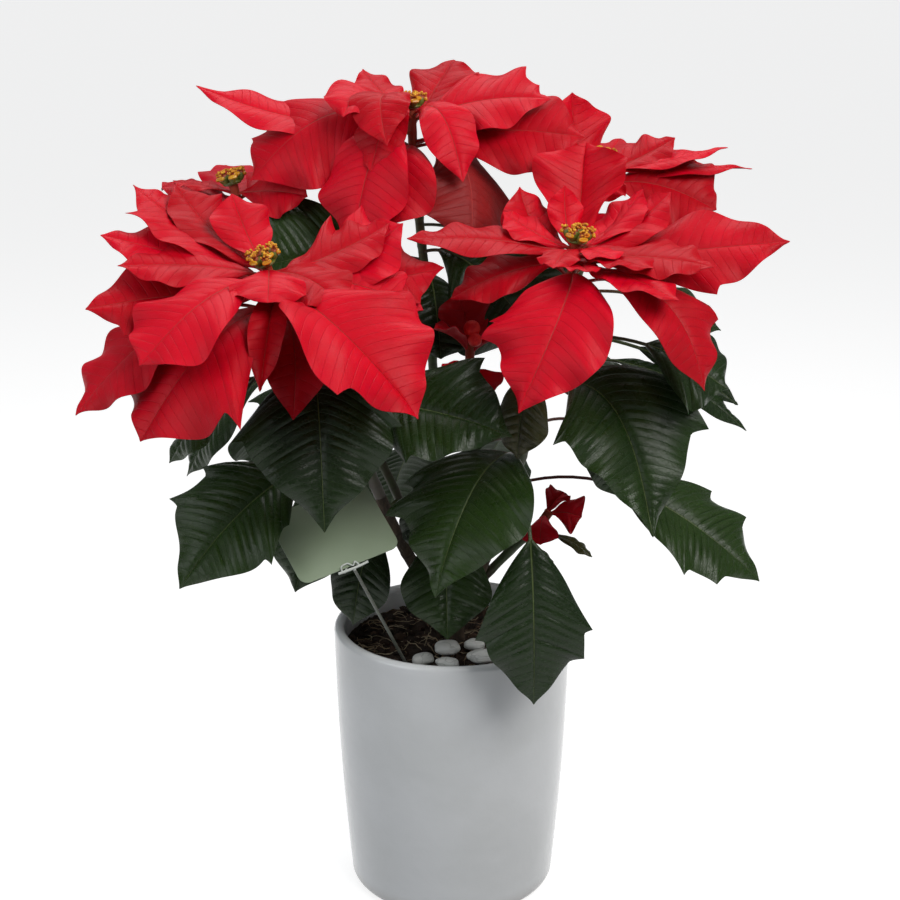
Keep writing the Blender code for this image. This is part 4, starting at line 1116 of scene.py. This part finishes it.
# Profiles as rows of (radius, place along the axis).
DOME_PROFILE = ((5.0, 0), (6.4, 0.5), (7.3, 1.5), (7.0, 2.4), (5.0, 3.0), (2.0, 3.3))
CUP_PROFILE = (
    (1.3, 0), (2.2, 1.2), (2.9, 2.8), (3.1, 4.4), (2.8, 5.8), (2.2, 6.9), (2.0, 7.6), (1.7, 7.9),
    (1.0, 7.3),
)
THREAD_PROFILE = ((0.34, 0), (0.30, 1.2), (0.26, 2.5))
POLLEN_PROFILE = ((0.3, 0), (0.75, 0.35), (0.88, 0.9), (0.66, 1.4), (0.25, 1.65))
POLLEN_PLACE = 2.3
CUP_COLOURS = ((0.075, 0.120, 0.012), (0.200, 0.230, 0.030))
GLAND_COLOURS = ((0.62, 0.20, 0.008), (0.86, 0.46, 0.025))
THREAD_FOOT = (0.30, 0.10, 0.01)
THREAD_COLOUR = (0.42, 0.012, 0.010)
POLLEN_COLOURS = ((0.55, 0.15, 0.01), (0.90, 0.52, 0.04))
FLOWER_MARKS = ("along", "tone")


def lathe(feet, axes, profile, sides, tones):
    """Round shells on their own axes: a ring of each profile row's radius at its place along the axis."""
    axes = unit(axes)
    across = unit(np.cross(axes, (0.2, 1, 0.1)))
    third = np.cross(axes, across)
    turn = np.arange(sides) * 2 * math.pi / sides
    ring = np.cos(turn)[:, None] * across[:, None] + np.sin(turn)[:, None] * third[:, None]
    profile = np.array(profile, float)
    points = (
        feet[:, None, None] + axes[:, None, None] * profile[:, 1][None, :, None, None]
        + ring[:, None] * profile[:, 0][None, :, None, None]
    )
    share = (profile[:, 1] / profile[-1, 1])[None, :, None]
    return closed(carrying(points, share, tones[:, None, None]))


cup_finish = Finish("flower_cup", CUP_COLOURS[0], 0.45)
share = cup_finish.mark("along")
colour = cup_finish.mix(cup_finish.mark("tone") * 0.6 + cup_finish.noise(2) * 0.4, *CUP_COLOURS)
colour = cup_finish.mix(share.rise(0.80, 0.97) * 0.85, colour, (0.40, 0.03, 0.012))
cup_finish.feed("Base Color", colour)
cup_finish.bump(cup_finish.noise(0.8, 3), 0.2)
gland_finish = Finish("nectar_gland", GLAND_COLOURS[0], 0.25, subsurface_weight=0.1)
colour = gland_finish.mix(gland_finish.mark("tone") * 0.5 + gland_finish.noise(1.6) * 0.5, *GLAND_COLOURS)
gland_finish.feed("Base Color", colour)
gland_finish.bump(gland_finish.noise(0.7, 2), 0.1)
thread_finish = Finish("red_thread", THREAD_COLOUR, 0.45)
colour = thread_finish.mix(thread_finish.mark("along"), THREAD_FOOT, THREAD_COLOUR)
thread_finish.feed("Base Color", colour)
pollen_finish = Finish("pollen_head", POLLEN_COLOURS[0], 0.8)
pollen_finish.feed("Base Color", pollen_finish.mix(pollen_finish.mark("tone"), *POLLEN_COLOURS))
pollen_finish.bump(pollen_finish.noise(0.4, 3), 0.2)

for order, (name, shoot) in enumerate(SHOOTS.items()):
    if name in ("young", "side"):
        continue
    chance = np.random.default_rng(50 + order)
    node = f"flowers_{name}"
    axis = bloom_axis(shoot)
    across = unit(np.cross(axis, (0, 1, 0)))
    third = np.cross(axis, across)
    centre = np.array(shoot.route[-1], float)
    low = centre + (CORE_GAP - CORE_TOP) * axis
    dome = lathe(low[None], axis[None], DOME_PROFILE, 24, np.array((0.3,)))
    turn = np.radians(np.arange(CUPS_PER_BLOOM) * GOLDEN_ANGLE)[:, None]
    outward = across * np.cos(turn) + third * np.sin(turn)
    spread = CUP_SPREAD * np.sqrt(np.arange(CUPS_PER_BLOOM) + 0.3)[:, None]
    feet = low + outward * 0.68 * spread + axis * (RECEPTACLE_HEIGHT - 1)
    leans = unit(axis * CUP_HEIGHT + outward * 0.5 * spread)
    tones = chance.uniform(0, 1, CUPS_PER_BLOOM)
    cups = lathe(feet, leans, CUP_PROFILE, 14, tones)
    piece(f"flower_cups_{name}", [dome, cups], cup_finish, "flower", node, marks=FLOWER_MARKS)

    # A nectar lip is a bean across the cup's outer side, with a cleft along its middle.
    u = np.linspace(0.1, math.pi - 0.1, 11)[:, None]
    v = np.arange(14) * 2 * math.pi / 14
    cleft = 1 - 0.45 * np.exp(-(((v - math.pi / 2) / 0.5) ** 2)) * np.sin(u) ** 0.5
    girth = np.sin(u) ** 0.7
    bean = np.stack([
        LIP_SIZE[0] * np.cos(u) + 0 * v,
        LIP_SIZE[1] * girth * np.cos(v) * cleft,
        LIP_SIZE[2] * girth * np.sin(v) * cleft,
    ], -1)
    level = unit(np.cross(leans, outward))
    facing = np.cross(level, leans)
    facing = facing * np.sign((facing * outward).sum(-1, keepdims=True))
    place = feet + leans * LIP_HEIGHT + facing * LIP_OFFSET
    tilt = unit(facing + 0.9 * leans)
    third_way = np.cross(level, tilt)
    frames = np.stack([level, third_way, tilt], 1)
    beans = np.einsum("rcm,nmk->nrck", bean, frames) + place[:, None, None]
    glands = closed(carrying(beans, 0.5, tones[:, None, None]))
    piece(f"glands_{name}", [glands], gland_finish, "flower", node, marks=FLOWER_MARKS)

    number = CUPS_PER_BLOOM * THREADS_PER_CUP
    which = np.repeat(np.arange(CUPS_PER_BLOOM), THREADS_PER_CUP)
    loose = unit(chance.normal(0, 1, (number, 3)))
    aims = unit(leans[which] + 0.55 * loose)
    roots = feet[which] + leans[which] * 6.8 + 0.9 * loose
    # Nothing uses these draws. They stay, so that the tones drawn after them are the same.
    chance.uniform(2.2, 4.2, number)
    threads = lathe(roots, aims, THREAD_PROFILE, 5, chance.uniform(0, 1, number))
    piece(f"threads_{name}", [threads], thread_finish, "flower", node, marks=FLOWER_MARKS)
    heads = lathe(roots + aims * POLLEN_PLACE, aims, POLLEN_PROFILE, 7, chance.uniform(0, 1, number))
    piece(f"pollen_{name}", [heads], pollen_finish, "flower", node, marks=FLOWER_MARKS)


# The young bloom's buds are two round red cups that have not opened, on one short stalk.
BUD_STALK_RADIUS = 2.5
BUDS = (((1, -4, 6), 6), ((3, -9, -1), 5))
BUD_COLOURS = ((0.72, 0.006, 0.012), (0.92, 0.035, 0.030))

bud_finish = Finish("red_bud", BUD_COLOURS[0], 0.5, specular_ior_level=0.2)
cloud = bud_finish.noise(4, 3)
colour = bud_finish.mix(cloud.rise(0.35, 0.65), *BUD_COLOURS)
colour = bud_finish.mix((1 - bud_finish.mark("along").rise(0.0, 0.25)) * 0.6, colour, (0.14, 0.07, 0.02))
bud_finish.feed("Base Color", colour)
bud_finish.bump(cloud + bud_finish.noise(1, 2) * 0.3, 0.4)
centre = np.array(SHOOTS["young"].route[-1], float)
up = np.array(((0, 0, 1),), float)
stalk_profile = [
    (BUD_STALK_RADIUS, 0), (BUD_STALK_RADIUS, 3), (BUD_STALK_RADIUS - 0.3, 2 * CORE_TOP - CORE_GAP),
]
buds = [lathe((centre - (0, 0, CORE_TOP - CORE_GAP))[None], up, stalk_profile, 16, np.array((0.2,)))]
for middle, radius in BUDS:
    ball = arc((0, radius), radius, -78, 78, 17)
    buds.append(lathe((centre + middle - (0, 0, radius))[None], up, ball, 24, np.array((0.6,))))
piece("red_buds", buds, bud_finish, "bud", "buds_young", marks=FLOWER_MARKS)


# The tag is a blank sage green card with rounded corners. A bent white wire grips its lower edge and
# stands on a thin grey-green rod pushed into the soil.
CARD_SIZE = (77, 0.8, 58)
CARD_MIDDLE = (-83, -85, 313)
CARD_TURN = (-49, -12, 28)
CARD_CORNER = 7
CLIP_SIZE = (20, 3.4, 4.2)
CLIP_GRIP = 2
STAKE_RADIUS = 1.5
STAKE_FOOT = (-33, -45)
STAKE_HOLE_DEPTH = 35
STAKE_TAPER = (1.25, 1.05)
STAKE_ROWS = 60
WIRE_SIDES = 10
STAKE_SIDES = 12
# A scar step so long that the wire and the rod get no swellings.
NO_SCARS = 1e6
CARD_COLOURS = ((0.265, 0.340, 0.220), (0.310, 0.385, 0.265))
WIRE_COLOUR = (0.62, 0.66, 0.62)
STAKE_COLOURS = ((0.10, 0.11, 0.09), (0.20, 0.21, 0.18))

card_turn = np.array(Euler([math.radians(angle) for angle in CARD_TURN]).to_matrix())


def on_card(points):
    """Points of the card's own plane and thickness, moved to where the card stands."""
    return np.asarray(points, float) @ card_turn.T + CARD_MIDDLE


def rounded(width, depth, corner, steps):
    """The outline of a rectangle with rounded corners, as points (x, z) in order."""
    return np.vstack([
        arc((sx * (width / 2 - corner), sz * (depth / 2 - corner)), corner, start, start + 90, steps)
        for sx, sz, start in ((1, 1, 0), (-1, 1, 90), (-1, -1, 180), (1, -1, 270))
    ])


width, thickness, depth = CARD_SIZE
layers = [(0.35, -0.5), (0.0, -0.32), (0.0, 0.32), (0.35, 0.5)]
rings = []
for inset, share in layers:
    loop = rounded(width - 2 * inset, depth - 2 * inset, CARD_CORNER - inset, 9)
    rings.append(np.stack([loop[:, 0], np.full(len(loop), share * thickness), loop[:, 1]], -1))
card = closed(on_card(np.array(rings))[None])
card_finish = Finish("sage_card", CARD_COLOURS[0], 0.62)
card_finish.feed("Base Color", card_finish.mix(card_finish.noise(60, 2).rise(0.3, 0.7), *CARD_COLOURS))
card_finish.bump(card_finish.noise(0.5, 4), 0.03)
piece("blank_card", [card], card_finish, "card", "tag_card", sharp=30)

wire_finish = Finish("white_wire", WIRE_COLOUR, 0.35)
wire_finish.feed("Roughness", wire_finish.noise(5) * 0.2 + 0.25)
wire_finish.bump(wire_finish.noise(1.5), 0.05)


def wire(points, radius):
    """A round wire along a smooth curve through points of the card's own plane."""
    line = smooth_route(on_card(points), 8 * len(points))
    return bare(stem(line, radius, WIRE_SIDES, NO_SCARS))


edge = -depth / 2
bar = wire(
    [(-12, -1.4, edge - 2.4), (-5, -1.2, edge - 2.6), (4, -1.2, edge - 2.6), (11, -1.5, edge - 2.2)], 0.95,
)
hook = wire(
    [(-9, -1.5, edge - 1.8), (-8, -1.6, edge + 1.5), (-3, -1.5, edge + 2.2), (0, -1.4, edge - 0.6),
     (2.5, -1.5, edge + 1.6), (4.5, -1.3, edge - 1.8)], 0.6,
)
back = wire([(-7, 1.3, edge - 2.4), (-2, 1.5, edge + 1.8), (3, 1.5, edge + 1.8), (6, 1.2, edge - 2.4)], 0.7)
saddle = wire([(0, -1.2, edge - 2.6), (0, 0, edge - 3.6), (0, 1.3, edge - 2.2)], 0.9)
piece("wire_clip", [bar, hook, back, saddle], wire_finish, "clip", "tag_clip")

head = on_card((0, 0, edge - CLIP_SIZE[2] + CLIP_GRIP - STAKE_RADIUS))
surface = np.array((*STAKE_FOOT, SOIL_TOP), float)
foot = surface - unit(head - surface) * STAKE_HOLE_DEPTH
line = np.linspace(foot, head, STAKE_ROWS)
rod = bare(stem(line, np.linspace(*STAKE_TAPER, STAKE_ROWS), STAKE_SIDES, NO_SCARS))
stake_finish = Finish("stake", STAKE_COLOURS[0], 0.45)
stake_finish.feed("Base Color", stake_finish.mix(stake_finish.noise(12, 3).rise(0.3, 0.7), *STAKE_COLOURS))
stake_finish.bump(stake_finish.noise(1.5, 2, (1, 1, 0.2)), 0.15)
piece("thin_stake", [rod], stake_finish, "stake", "tag_stake")
